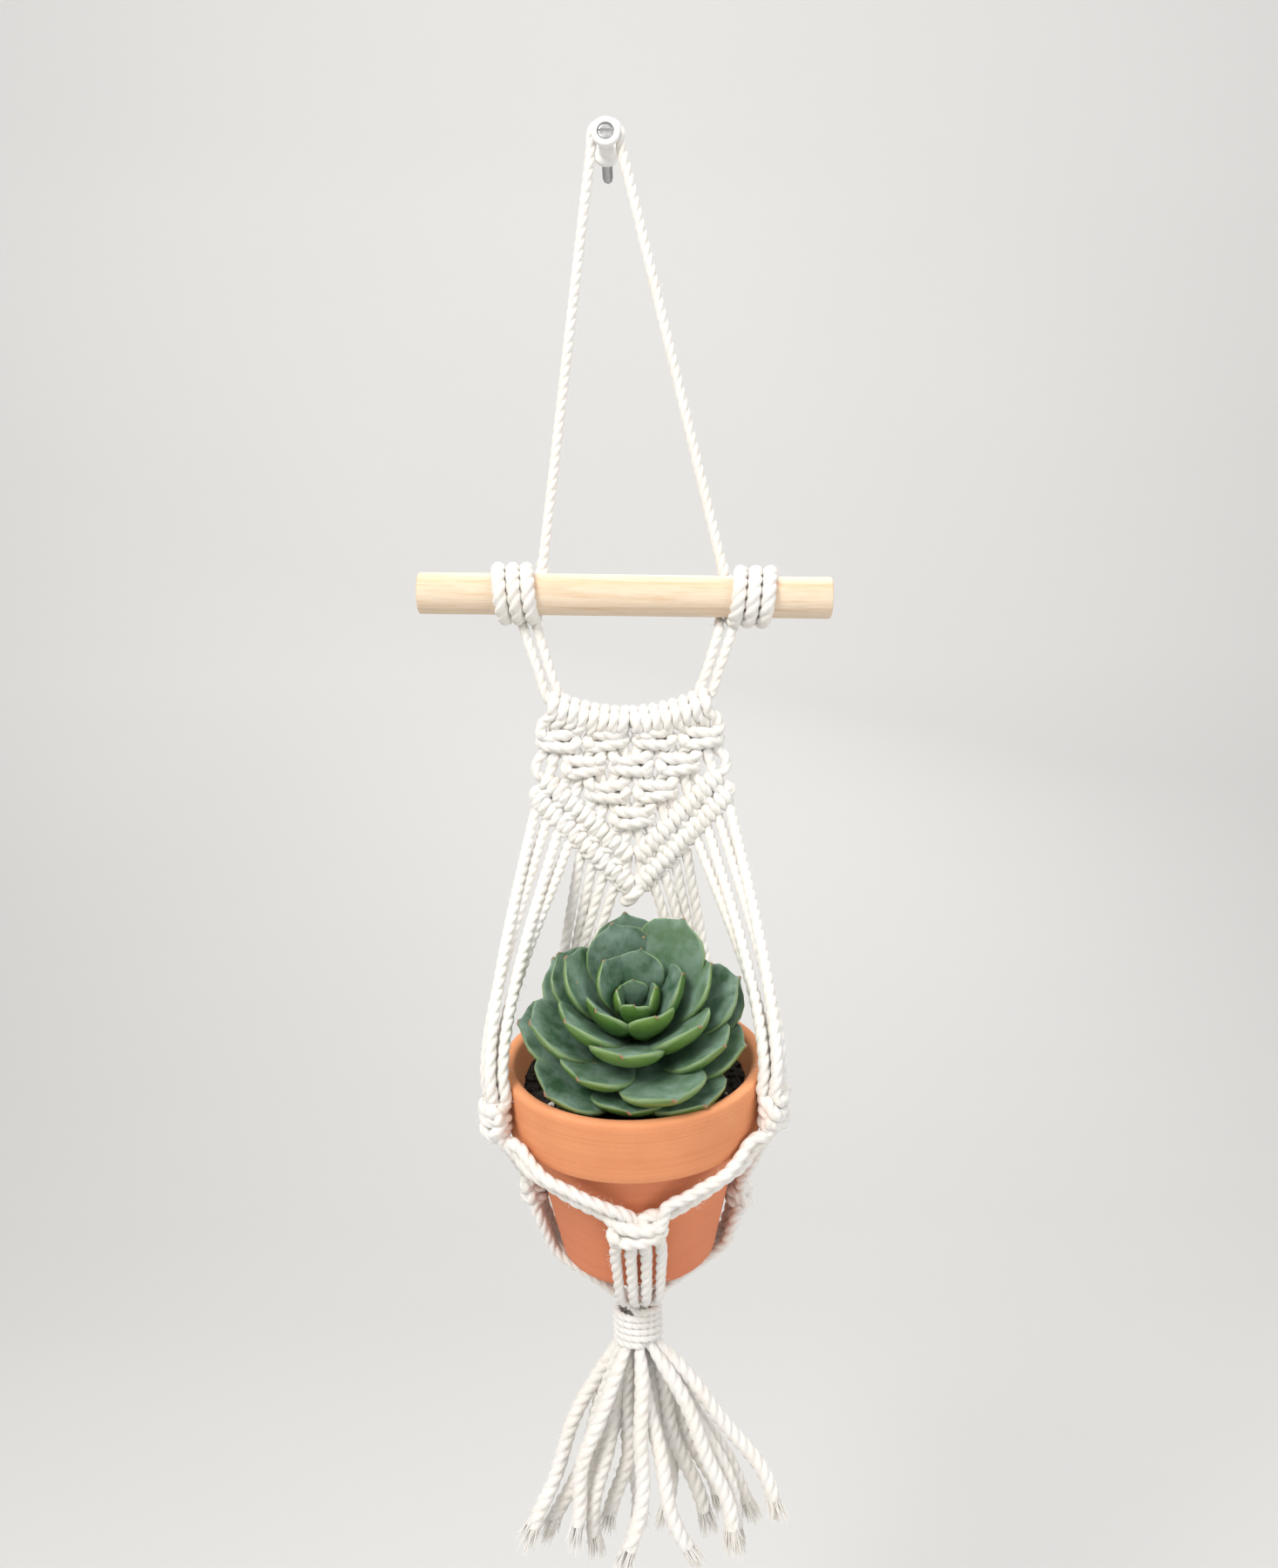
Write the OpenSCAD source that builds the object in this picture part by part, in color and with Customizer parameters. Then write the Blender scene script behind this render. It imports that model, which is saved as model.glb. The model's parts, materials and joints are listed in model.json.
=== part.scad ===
// Hanging macrame planter: a cotton cord hanger over a wall peg, a wooden dowel, a knotted
// panel on its own holding cord, a cord cradle round a clay pot with a succulent, and a tassel.
// Origin: on the wall face, on the axis of the peg. X runs right, Z up, and the front is -Y.

/* [Wall peg] */
// Diameter of the peg's two flanges
peg_d = 9; // [7.5:0.5:12]
// Diameter of the neck that the hanger cord bears on
peg_neck_d = 5; // [4.5:0.5:6]
// Thickness of the flange at each end
flange_t = 2; // [1.5:0.5:3]
// Diameter of the screw's thread in the wall
screw_d = 3.5; // [2.5:0.1:3.6]
// Diameter of the screw's plain shank inside the peg
shank_d = 2.6; // [2.2:0.1:2.8]
// Length of screw that goes into the wall
screw_len = 20; // [12:1:40]
// Diameter of the screw's head
screw_head_d = 5.2; // [4.8:0.1:6]

/* [Cord] */
// Diameter of the cotton cord
cord_d = 3.4; // [2.8:0.1:3.8]
// Diameter of the thinner cord that binds the tassel
binding_d = 2; // [1.6:0.1:2.4]
// Running gap between pieces that move apart
gap = 0.3; // [0.2:0.05:0.5]

/* [Hanger] */
// Height of the peg's axis above the middle of the dowel
hanger_drop = 141.5; // [110:0.5:200]
// Distance of the hanging line and the dowel from the wall
wall_gap = 10; // [10:0.5:16]

/* [Dowel] */
// Diameter of the dowel
dowel_d = 12.7; // [10:0.1:16]
// Length of the dowel
dowel_len = 127; // [112:1:200]
// How far the dowel's middle lies to the right of the peg
dowel_shift = 2; // [-4:0.5:4]
// Slope of the dowel, right end lower
dowel_tilt = 2.3; // [0:0.1:4]
// Turns of cord wrapped on the dowel at each side
wrap_turns = 3; // [2:1:4]
// Pitch of the wrapped turns
wrap_pitch = 4.8; // [4:0.1:6]
// Distance from the peg's line to the middle of the left wrap
left_wrap_x = 31.4; // [26:0.2:40]
// Distance from the peg's line to the middle of the right wrap
right_wrap_x = 40.8; // [30:0.2:48]

/* [Panel] */
// How far the knotted panel lies to the right of the peg
panel_shift = 2.4; // [-4:0.2:4]
// Height of the dowel's axis above the panel's top corners
yoke_drop = 30.5; // [24:0.5:60]
// Width of the panel at its top corners
panel_top_w = 49; // [44:1:60]
// How far the panel's top edge sags in the middle
top_sag = 6; // [2:0.5:8]
// Width of one column of square knots
knot_pitch = 14.6; // [14:0.2:18]
// Height of one row of square knots
knot_row = 8; // [7:0.2:9.5]
// Thickness of the knotted panel
panel_t = 6.4; // [5:0.2:8]
// Diameter of a row of clove hitches
hitch_d = 6; // [5:0.1:7]
// Clove hitches along one side of the point
hitches = 8; // [8:2:8]

/* [Pot] */
// Outer diameter of the pot's rim
pot_d = 74; // [60:1:90]
// Height of the pot
pot_h = 60; // [50:1:76]
// Outer diameter of the pot's base
pot_base_d = 44; // [36:1:54]
// Outer diameter of the body just under the collar
pot_neck_d = 61; // [50:1:74]
// Height of the pot's collar
collar_h = 18; // [12:1:24]
// Thickness of the pot's wall
pot_wall = 3.4; // [2.5:0.1:5]
// Diameter of the drain hole
drain_d = 10; // [6:1:14]
// Depth of the soil's surface below the rim
soil_drop = 7; // [4:1:14]
// Forward lean of the pot in its cradle
pot_tilt = 16; // [8:1:24]
// Clear space between the rim's back and the wall
rim_gap = 8.4; // [8:0.2:14]

/* [Plant] */
// Length of the outermost leaves
leaf_len = 35; // [26:1:36]
// Width of the outermost leaves
leaf_w = 23; // [16:1:25]
// Thickness of a leaf
leaf_t = 5; // [3:0.5:6]
// Diameter of the stem at the soil
stem_d = 10; // [8:1:14]
// Forward lean of the plant over the lean of its pot
plant_lean = 20; // [0:1:24]

/* [Cradle] */
// Height of the panel's point above the middle of the pot's rim
cradle_drop = 39; // [36:1:80]
// Width of an upper cradle knot
knot_w = 9.6; // [8:0.2:11]
// Height of an upper cradle knot
knot_h = 11; // [9:0.5:14]
// Depth of a cradle knot, out from the pot
knot_t = 6.8; // [5.5:0.2:7.4]
// Height from the base's middle down to the binding
binding_drop = 18.5; // [16:0.5:30]
// Height of the binding above the tassel
binding_h = 10.8; // [8:0.2:16]
// Outer diameter of the binding
binding_w = 14.4; // [13:0.2:18]

/* [Tassel] */
// Length of the tassel's longest strand
tassel_len = 58; // [40:1:120]

/* [Hidden] */

cord_r = cord_d / 2;
seat = 0.05;                    // gap between still pieces that rest together
cotton = "#f2ede4";
clay = "#d98357";
pine = "#efd2a8";
leaf_green = "#7fae7e";

// Wall peg, along -Y
line_y = -wall_gap;             // the hanging cord, the dowel and the panel lie in this plane
groove_w = cord_d + 2 * gap;
peg_len = wall_gap + groove_w / 2 + flange_t;
peg_bore_d = shank_d + 2 * seat;
head_t = 1.6;

// Dowel and its wraps
dowel_z = -hanger_drop;
turn_r = dowel_d / 2 + cord_r + seat;
wrap_half = wrap_pitch * wrap_turns / 2;
left_leg_x = -left_wrap_x + wrap_half;     // where each hanger leg runs on to its wrap
right_leg_x = right_wrap_x - wrap_half;
function dowel_line(x) = dowel_z - (x - dowel_shift) * tan(dowel_tilt);
// A point on the turns: x across, turned round the dowel by a from straight up towards the front
function on_dowel(x, a, r) = [x + r * cos(a) * sin(dowel_tilt), line_y - r * sin(a),
    dowel_line(x) + r * cos(a) * cos(dowel_tilt)];

// Panel
panel_top = dowel_z - yoke_drop;
row_top = panel_top - 10.1;               // top of the first row of square knots
upper_point = row_top - 4 * knot_row - 9.5; // where the two upper hitch rows would meet
hitch_step = hitch_d + 0.2;               // spacing of the two hitch rows
hitch_slope = 44.5;
lower_point = upper_point - hitch_step / cos(hitch_slope);
upper_hitches = hitches - 1;
upper_run = 38;
lower_run = 41.6;
point_gap = hitch_d / 2 + 0.2;            // keeps the left row clear of the right one
panel_point = lower_point - hitch_d / 2 / cos(hitch_slope);
function header_z(x) = panel_top - top_sag * (1 - pow(2 * x / panel_top_w, 2));

// Pot's own frame: angle round from the front, distance from its axis, height over its rim
pot_x = 1;
pot_y = -rim_gap - pot_d / 2 * cos(pot_tilt);
rim_z = panel_point - cradle_drop;
out_dir = [0, -cos(pot_tilt), -sin(pot_tilt)];
up_dir = [0, -sin(pot_tilt), cos(pot_tilt)];
function by_pot(a, r, h) =
    [pot_x, pot_y, rim_z] + r * sin(a) * [1, 0, 0] + r * cos(a) * out_dir + h * up_dir;
collar_r = pot_d / 2 - 1;
neck_r = pot_neck_d / 2;
base_r = pot_base_d / 2;
function body_r(h) = neck_r + (base_r - neck_r) * (-h - collar_h) / (pot_h - collar_h);

// Cradle knots: [angle, distance, height] in the pot's frame
upper_r = pot_d / 2 + gap + knot_t / 2;
knot_fl = [-65, upper_r, -8];
knot_fr = [65, upper_r, -8];
knot_bl = [-144, upper_r, -17];
knot_br = [144, upper_r, -17];
function lower_at(a, h) = [a, body_r(h) + 0.6 + knot_t / 2, h];
knot_f = lower_at(0, -collar_h - 17);
knot_l = lower_at(-90, -collar_h - 24);
knot_r = lower_at(90, -collar_h - 27);
knot_b = lower_at(180, -collar_h - 20);
lower_w = 12;
lower_h = 9;
front_w = 16;
front_h = 8.4;

// Binding and tassel
base_mid = by_pot(0, 0, -pot_h);
binding_top = [0, base_mid[1] - 0.5, base_mid[2] - binding_drop];
binding_end = binding_top - [0, 0, binding_h];
tassel_gap = 1.6;                         // lets the tassel swing under the binding
tassel_top = binding_end - [0, 0, tassel_gap];

// Tassel strands by hand: [end to the right, end to the front, share of length, sway]
tassel_front_ends = [[-21, 8, 0.9, -3], [-4, 13, 0.97, 3], [14, 11, 1, -4], [25, 9, 0.93, 5]];
tassel_left_ends = [[-32, 3, 0.94, -4], [-27, -3, 0.96, 2], [-15, 3, 1, -2], [-10, -5, 0.96, 4]];
tassel_right_ends = [[40, 2, 0.84, 3], [34, -4, 0.9, -2], [29, 3, 0.97, 4], [19, -3, 0.95, -3]];
tassel_back_ends = [[-19, -9, 0.93, 2], [-2, -10, 1, -3], [8, -6, 0.96, 3], [22, -10, 0.92, 2]];

// Whorls of leaves: [count, first angle, share of length, share of width, rise at the front, more
// rise at the back, less rise at the sides, share of length lost at the sides, height on the stem,
// how far the tip curls up]
outer_whorl = [9, -8, 1, 1, 10, 24, 12, 0.14, 1.5, 7];
middle_whorl = [8, 12, 0.97, 0.96, 14, 24, 4, 0.2, 5.5, 7];
inner_whorl = [7, -6, 0.83, 0.87, 26, 22, 0, 0, 10, 6];
bud_whorl = [5, 25, 0.54, 0.6, 44, 16, 0, 0, 13.5, 3.5];
heart_whorl = [4, 0, 0.31, 0.36, 66, 8, 0, 0, 16, 1.5];

// ---------- shared shapes ----------

function unit(v) = v / norm(v);
function lerp(a, b, t) = a + (b - a) * t;
function tangent(p, i) = unit(p[min(i + 1, len(p) - 1)] - p[max(i - 1, 0)]);

// Closed tube through points p. w and t are the full width and thickness at each point, and
// side is any direction that the path never runs along.
module sweep(p, w, t, side, sides = 8) {
    rings = len(p);
    pts = [for (i = [0:rings - 1])
        let (d = tangent(p, i), n = unit(cross(side, d)), b = cross(d, n))
        for (j = [0:sides - 1])
            p[i] + n * w[i] / 2 * cos(360 * j / sides) + b * t[i] / 2 * sin(360 * j / sides)];
    walls = [for (i = [0:rings - 2], j = [0:sides - 1])
        [i * sides + j, (i + 1) * sides + j,
         (i + 1) * sides + (j + 1) % sides, i * sides + (j + 1) % sides]];
    first = [for (j = [0:sides - 1]) j];
    last = [for (j = [sides - 1:-1:0]) (rings - 1) * sides + j];
    polyhedron(points = pts, faces = concat(walls, [first], [last]), convexity = 6);
}

module cord(p, side = [0, 1, 0], d = cord_d) {
    same = [for (q = p) d];
    sweep(p, same, same, side);
}

// A cord that narrows where it is bunched, from d1 at its start to d2 at its end
module bunched_cord(p, d1, d2, side = [0, 1, 0]) {
    last = len(p) - 1;
    size = [for (i = [0:last]) lerp(d1, d2, i / last)];
    sweep(p, size, size, side);
}

// Points of a cubic curve from a to d, pulled towards b and c
function curve(a, b, c, d, n) = [for (i = [0:n]) let (t = i / n, s = 1 - t)
    s * s * s * a + 3 * s * s * t * b + 3 * s * t * t * c + t * t * t * d];

// A cushion-shaped knot, w across, t deep and h tall
module pillow(w, t, h) {
    heights = [-0.5, -0.36, -0.14, 0.14, 0.36, 0.5];
    shares = [0.62, 0.88, 1, 1, 0.88, 0.62];
    sweep([for (z = heights) [0, 0, z * h]], w * shares, t * shares, [0, 1, 0], 10);
}

module by_knot(k) {
    translate(by_pot(k[0], k[1], k[2])) rotate([pot_tilt, 0, 0]) rotate([0, 0, k[0]]) children();
}

module in_pot() {
    translate([pot_x, pot_y, rim_z]) rotate([pot_tilt, 0, 0]) children();
}

// ---------- wall peg ----------

module wall_peg() color("white")
    difference() {
        rotate([90, 0, 0]) union() {
            cylinder(h = flange_t, d = peg_d, $fn = 64);
            cylinder(h = peg_len, d = peg_neck_d, $fn = 64);
            translate([0, 0, peg_len - flange_t]) cylinder(h = flange_t, d = peg_d, $fn = 64);
        }
        rotate([90, 0, 0]) translate([0, 0, -1]) cylinder(h = peg_len + 2, d = peg_bore_d, $fn = 64);
        translate([0, -peg_len + head_t, 0]) rotate([90, 0, 0])
            cylinder(h = head_t + 1, d = screw_head_d + 2 * seat, $fn = 64);
    }

module peg_screw() color("#d8d8d4")
    difference() {
        union() {
            translate([0, screw_len, 0]) rotate([90, 0, 0]) cylinder(h = screw_len, d = screw_d, $fn = 64);
            rotate([90, 0, 0]) cylinder(h = peg_len - head_t, d = shank_d, $fn = 64);
            translate([0, -peg_len + head_t, 0]) rotate([90, 0, 0])
                cylinder(h = head_t - 0.4, d = screw_head_d, $fn = 64);
        }
        translate([-screw_head_d, -peg_len - 1, -0.4]) cube([2 * screw_head_d, 1.8, 0.8]);
    }

// ---------- hanger and dowel ----------

// Up from the left wrap, over the peg and down to the right wrap
bend_r = peg_neck_d / 2 + gap + cord_r;
leg_meet = 70;                            // angle round the dowel where a leg joins its wrap
function hanger_route() =
    let (foot_l = on_dowel(left_leg_x, -leg_meet, turn_r),
         foot_r = on_dowel(right_leg_x, -leg_meet, turn_r))
    concat(
        [for (i = [0:8]) lerp(foot_l, [-bend_r * 1.02, line_y, -3], i / 8)],
        [for (a = [180:-30:0]) [bend_r * cos(a), line_y, bend_r * sin(a)]],
        [for (i = [0:8]) lerp([bend_r * 1.02, line_y, -3], foot_r, i / 8)]);

module hanger_cord() color(cotton) cord(hanger_route(), [0, 1, 0]);

// Turns round the dowel, from the leg's side outwards. step is +1 or -1 along X.
module wrap(start_x, step) {
    per_turn = 12;
    p = [for (i = [0:per_turn * wrap_turns])
        on_dowel(start_x + step * wrap_pitch * i / per_turn, -leg_meet - 360 * i / per_turn, turn_r)];
    cord(p, [1, 0, 0]);
}

module wrap_left() color(cotton) wrap(left_leg_x, -1);

module wrap_right() color(cotton) wrap(right_leg_x, 1);

module dowel() color(pine)
    translate([dowel_shift, line_y, dowel_z]) rotate([0, dowel_tilt, 0])
        rotate([0, 90, 0]) cylinder(h = dowel_len, d = dowel_d, center = true, $fn = 96);

// ---------- panel ----------

// Both strands of one side, from under the wraps down to the panel's corner
module yoke(side_sign, wrap_x) {
    clear = turn_r + cord_r + gap + 0.4;
    for (k = [-1, 1]) {
        top_x = wrap_x + k * 2.1;
        foot_x = panel_shift + side_sign * (panel_top_w / 2 - 0.9) + k * 1.75;
        foot_z = panel_top + k * side_sign * -0.8;
        cord([for (i = [0:4])
            lerp([top_x, line_y, dowel_line(top_x) - clear], [foot_x, line_y, foot_z], i / 4)]);
    }
}

module yoke_left() color(cotton) yoke(-1, -left_wrap_x + 3.4);

module yoke_right() color(cotton) yoke(1, right_wrap_x - 7.6);

// Two strands side by side in the panel's top edge
module header_cord() color(cotton)
    for (k = [-1, 1])
        cord([for (i = [0:10]) let (x = (i / 10 - 0.5) * (panel_top_w - 1))
            [panel_shift + x, line_y + k * (cord_r + seat), header_z(x) - cord_r - 0.6]], [0, 1, 0]);

module lark_knots() color(cotton)
    for (i = [0:7]) {
        step = panel_top_w / 8;
        x = (i - 3.5) * step;
        top = header_z(x);
        translate([panel_shift + x - step / 2 + 0.15, line_y - panel_t / 2, row_top])
            cube([step - 0.3, panel_t, top - row_top]);
    }

// Square knots of one row, at columns counted from the middle
module square_row(row, columns) {
    half_w = knot_pitch * 0.45;
    half_top = knot_pitch * 0.29;
    half_h = knot_row / 2;
    for (c = columns)
        translate([panel_shift + c * knot_pitch, line_y + panel_t / 2, row_top - (row - 0.5) * knot_row])
            rotate([90, 0, 0]) linear_extrude(panel_t)
                polygon([[-half_top, half_h], [half_top, half_h], [half_w, half_h * 0.3],
                         [half_w, -half_h * 0.3], [half_top, -half_h], [-half_top, -half_h],
                         [-half_w, -half_h * 0.3], [-half_w, half_h * 0.3]]);
}

module square_knots_1() color(cotton) square_row(1, [-1.5, -0.5, 0.5, 1.5]);
module square_knots_2() color(cotton) square_row(2, [-1, 0, 1]);
module square_knots_3() color(cotton) square_row(3, [-0.5, 0.5]);
module square_knots_4() color(cotton) square_row(4, [0]);

// Beads up one side from the panel's point. side_sign is -1 left or 1 right.
module hitch_row(side_sign, point_z, count, run) {
    step = (run - point_gap) / count;
    for (i = [0:count - 1])
        translate([panel_shift, line_y, point_z]) rotate([0, side_sign * (90 - hitch_slope), 0])
            translate([0, 0, point_gap + i * step + 0.1]) rotate_extrude($fn = 48)
                polygon([[0, 0], [hitch_d / 2 - 0.8, 0], [hitch_d / 2, 0.8],
                         [hitch_d / 2, step - 1], [hitch_d / 2 - 0.8, step - 0.2], [0, step - 0.2]]);
}

module hitches_upper_left() color(cotton) hitch_row(-1, upper_point, upper_hitches, upper_run);
module hitches_upper_right() color(cotton) hitch_row(1, upper_point, upper_hitches, upper_run);
module hitches_lower_left() color(cotton) hitch_row(-1, lower_point, hitches, lower_run);
module hitches_lower_right() color(cotton) hitch_row(1, lower_point, hitches, lower_run);

// Where strand i (0 is the outermost) leaves the lower hitches
function exit_point(side_sign, i) =
    let (step = (lower_run - point_gap) / hitches, s = point_gap + (hitches - 0.5 - i) * step,
         out = hitch_d / 2 - 0.3)
    [panel_shift + side_sign * (s * cos(hitch_slope) + out * sin(hitch_slope)), line_y,
     lower_point + s * sin(hitch_slope) - out * cos(hitch_slope)];

// ---------- cradle ----------

// Four strands from the panel to the top of an upper knot, two by two at the knot
module upper_cords(side_sign, first, k, bow) {
    for (i = [0:3]) {
        across = (i % 2 - 0.5) * (cord_d + 0.1);
        deep = (floor(i / 2) - 0.5) * -side_sign * side_sign * (cord_d + 0.1);
        start = exit_point(side_sign, first + i);
        end = by_pot(k[0] + side_sign * across / k[1] * 57.3, k[1] + deep, k[2] + knot_h / 2 - 0.6);
        push = [side_sign * bow, 0, 0];
        // the front strands rise past the rim before they lean in to the panel
        near = bow > 0
            ? by_pot(k[0] + side_sign * across / k[1] * 57.3, k[1] + deep + 2.5, k[2] + knot_h / 2 + 19.4)
            : lerp(start, end, 0.67);
        cord(curve(start, lerp(start, end, 0.33) + push, near, end, 9));
    }
}

module upper_cords_front_left() color(cotton) upper_cords(-1, 0, knot_fl, 2);
module upper_cords_front_right() color(cotton) upper_cords(1, 0, knot_fr, 2);
module upper_cords_back_left() color(cotton) upper_cords(-1, 4, knot_bl, 0);
module upper_cords_back_right() color(cotton) upper_cords(1, 4, knot_br, 0);

module upper_knot(k) { by_knot(k) pillow(knot_w, knot_t, knot_h); }

module knot_front_left() color(cotton) upper_knot(knot_fl);
module knot_front_right() color(cotton) upper_knot(knot_fr);
module knot_back_left() color(cotton) upper_knot(knot_bl);
module knot_back_right() color(cotton) upper_knot(knot_br);

// Two strands side by side from the bottom of upper knot a to the top of lower knot b. They lie
// on the collar, then run straight to the lower knot. turn is the share of a's width used.
module pair(a, b, turn, b_w, b_h) {
    n = 7;
    start = [a[0] + turn * 0.22 * knot_w / a[1] * 57.3, a[2] - knot_h / 2 + 0.5];
    end = [b[0] - turn * 0.24 * b_w / b[1] * 57.3, b[2] + b_h / 2 - 0.5];
    edge_r = collar_r + cord_r + gap + 0.2;
    arc = (end[0] - start[0]) / 57.3 * edge_r;
    fall = end[1] - start[1];
    across = unit([-fall, arc]);
    for (k = [-1, 1]) {
        p = [for (i = [0:n]) let (t = i / n,
                shift = k * (cord_r + seat),
                h = lerp(start[1], end[1], t) + shift * across[1],
                clear = max(collar_r + (h > -collar_h - 2 ? 0.6 : 0), 0) + cord_r + gap,
                down = max(0, (-collar_h - 1 - h) / (-collar_h - 1 - end[1])),
                r = lerp(clear, b[1], min(1, down)))
            by_pot(lerp(start[0], end[0], t) + shift * across[0] / r * 57.3, r, h)];
        mid = (a[0] + b[0]) / 2;
        cord(p, sin(mid) * [1, 0, 0] + cos(mid) * out_dir);
    }
}

module pair_front_left() color(cotton) pair(knot_fl, knot_f, 1, front_w, front_h);
module pair_front_right() color(cotton) pair(knot_fr, knot_f, -1, front_w, front_h);
module pair_side_left() color(cotton) pair(knot_fl, knot_l, -1, lower_w, lower_h);
module pair_side_right() color(cotton) pair(knot_fr, knot_r, 1, lower_w, lower_h);
module pair_rear_left() color(cotton) pair(knot_bl, knot_l, 1, lower_w, lower_h);
module pair_rear_right() color(cotton) pair(knot_br, knot_r, -1, lower_w, lower_h);
module pair_back_left() color(cotton)
    pair(knot_bl, [-knot_b[0], knot_b[1], knot_b[2]], -1, lower_w, lower_h);
module pair_back_right() color(cotton) pair(knot_br, knot_b, 1, lower_w, lower_h);

module knot_lower_front() color(cotton) by_knot(knot_f) pillow(front_w, knot_t, front_h);
module knot_lower_left() color(cotton) by_knot(knot_l) pillow(lower_w, knot_t, lower_h);
module knot_lower_right() color(cotton) by_knot(knot_r) pillow(lower_w, knot_t, lower_h);
module knot_lower_back() color(cotton) by_knot(knot_b) pillow(lower_w, knot_t, lower_h);

// Where strand i of the group that faces angle turn sits in the bound bundle: 12 strands in
// an outer ring and 4 in the middle
bunch = 0.58;                             // cotton squashes to this share of its width
function in_bundle(turn, i) =
    let (a = turn + [-30, 0, 30, 12][i], r = i == 3 ? 1.6 : binding_w / 2 - binding_d - 0.9)
    [r * sin(a), -r * cos(a), 0];

// Four strands from a lower knot, down the pot and under its base to the binding
module lower_cords(k, w, h) {
    order = [0, 1, 3, 2];
    for (i = [0:3]) {
        side = (i - 1.5);
        start = by_pot(k[0] + side * 0.27 * w / k[1] * 57.3, k[1], k[2] - h / 2 + 0.5);
        edge = by_pot(k[0] + side * 0.2 * w / base_r * 57.3, base_r + cord_r + gap + 1.5, -pot_h + 1);
        end = binding_top + in_bundle(k[0], order[i]) - [0, 0, 0.2];
        bunched_cord(concat([for (t = [0:3]) lerp(start, edge, t / 4)],
            curve(edge, lerp(edge, start, -0.38), end + [0, 0, 4], end, 6)),
            cord_d, cord_d * bunch, sin(k[0] + 90) * [1, 0, 0] + cos(k[0] + 90) * out_dir);
    }
}

module lower_cords_front() color(cotton) lower_cords(knot_f, front_w, front_h);
module lower_cords_left() color(cotton) lower_cords(knot_l, lower_w, lower_h);
module lower_cords_right() color(cotton) lower_cords(knot_r, lower_w, lower_h);
module lower_cords_back() color(cotton) lower_cords(knot_b, lower_w, lower_h);

module binding() color(cotton)
    translate(binding_end) rotate_extrude($fn = 64) {
        turns = floor(binding_h / binding_d);
        square([binding_w / 2 - binding_d / 2, binding_h]);
        for (i = [0:turns - 1])
            translate([binding_w / 2 - binding_d / 2, binding_h * (i + 0.5) / turns])
                circle(d = binding_h / turns * 0.98, $fn = 24);
    }

// ---------- tassel ----------

module tassel(ends, turn) {
    order = [0, 1, 3, 2];
    for (i = [0:3]) {
        e = ends[i];
        start = tassel_top + in_bundle(turn, order[i]);
        fall = tassel_len * e[2];
        end = [tassel_top[0] + e[0], tassel_top[1] - e[1], tassel_top[2] - fall];
        pull = [e[0] * 0.16 + e[3], -e[1] * 0.2, -fall * 0.4];
        bunched_cord(curve(start, start + pull, end + [-e[0] * 0.3 + e[3], e[1] * 0.2, fall * 0.35],
            end, 9), cord_d * bunch, cord_d);
    }
}

module tassel_front() color(cotton) tassel(tassel_front_ends, 0);
module tassel_left() color(cotton) tassel(tassel_left_ends, -90);
module tassel_right() color(cotton) tassel(tassel_right_ends, 90);
module tassel_back() color(cotton) tassel(tassel_back_ends, 180);

// ---------- pot and plant ----------

pot_inner_top = pot_d / 2 - pot_wall;
pot_inner_base = base_r - pot_wall;
pot_inner_neck = neck_r - pot_wall;

module pot() color(clay)
    in_pot() rotate_extrude($fn = 128) polygon([
        [drain_d / 2, -pot_h], [base_r, -pot_h], [neck_r, -collar_h], [collar_r, -collar_h],
        [pot_d / 2, -0.8], [pot_d / 2 - 0.8, 0], [pot_inner_top + 0.8, 0], [pot_inner_top, -0.8],
        [pot_inner_neck, -collar_h], [pot_inner_base, -pot_h + pot_wall],
        [drain_d / 2, -pot_h + pot_wall]]);

// Inner radius of the pot at height h, less the gap that keeps the soil's solid apart
function soil_r(h) = -seat + (h > -collar_h
    ? lerp(pot_inner_neck, pot_inner_top, (h + collar_h) / (collar_h - 0.8))
    : lerp(pot_inner_base, pot_inner_neck, (h + pot_h - pot_wall) / (pot_h - pot_wall - collar_h)));

module soil() color("#3a3330")
    in_pot() rotate_extrude($fn = 96) {
        foot = -pot_h + pot_wall + seat;
        polygon([[0, foot], [soil_r(foot), foot], [soil_r(-collar_h), -collar_h],
                 [soil_r(-soil_drop), -soil_drop], [0, -soil_drop]]);
    }

stem_h = 21;
root_h = -3;                              // where the plant's lean starts, from the rim

module in_plant() { in_pot() translate([0, 0, root_h]) rotate([plant_lean, 0, 0]) children(); }

module plant_stem() color("#8da27c")
    in_plant() translate([0, 0, -soil_drop - root_h])
        cylinder(h = stem_h, d1 = stem_d, d2 = stem_d * 0.6, $fn = 32);

// One whorl of spoon-shaped leaves. Leaves towards the back stand up more.
module whorl(v) {
    widths = [0.3, 0.5, 0.85, 1, 0.8, 0.42, 0.06];
    depths = [0.7, 1, 1, 0.95, 0.7, 0.4, 0.1];
    steps = len(widths) - 1;
    for (i = [0:v[0] - 1]) {
        a = v[1] + 360 * i / v[0];
        rise = v[4] + v[5] * (1 - cos(a)) / 2 - v[6] * pow(sin(a), 2);
        reach = leaf_len * v[2] * (1 - v[7] * pow(sin(a), 2));
        root = stem_d * 0.3;
        out = [sin(a), -cos(a), 0];
        along = out * cos(rise) + [0, 0, 1] * sin(rise);
        upward = [0, 0, 1] * cos(rise) - out * sin(rise);
        p = [for (j = [0:steps]) let (t = j / steps)
            out * root + [0, 0, v[8]] + along * reach * t + upward * v[9] * t * t];
        in_plant() sweep(p, widths * leaf_w * v[3], depths * leaf_t * min(1, v[3] + 0.2), upward, 8);
    }
}

module outer_leaves() color(leaf_green) whorl(outer_whorl);
module middle_leaves() color(leaf_green) whorl(middle_whorl);
module inner_leaves() color(leaf_green) whorl(inner_whorl);
module heart_leaves() color(leaf_green) {
    whorl(bud_whorl);
    whorl(heart_whorl);
}

// ---------- nodes ----------

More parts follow.
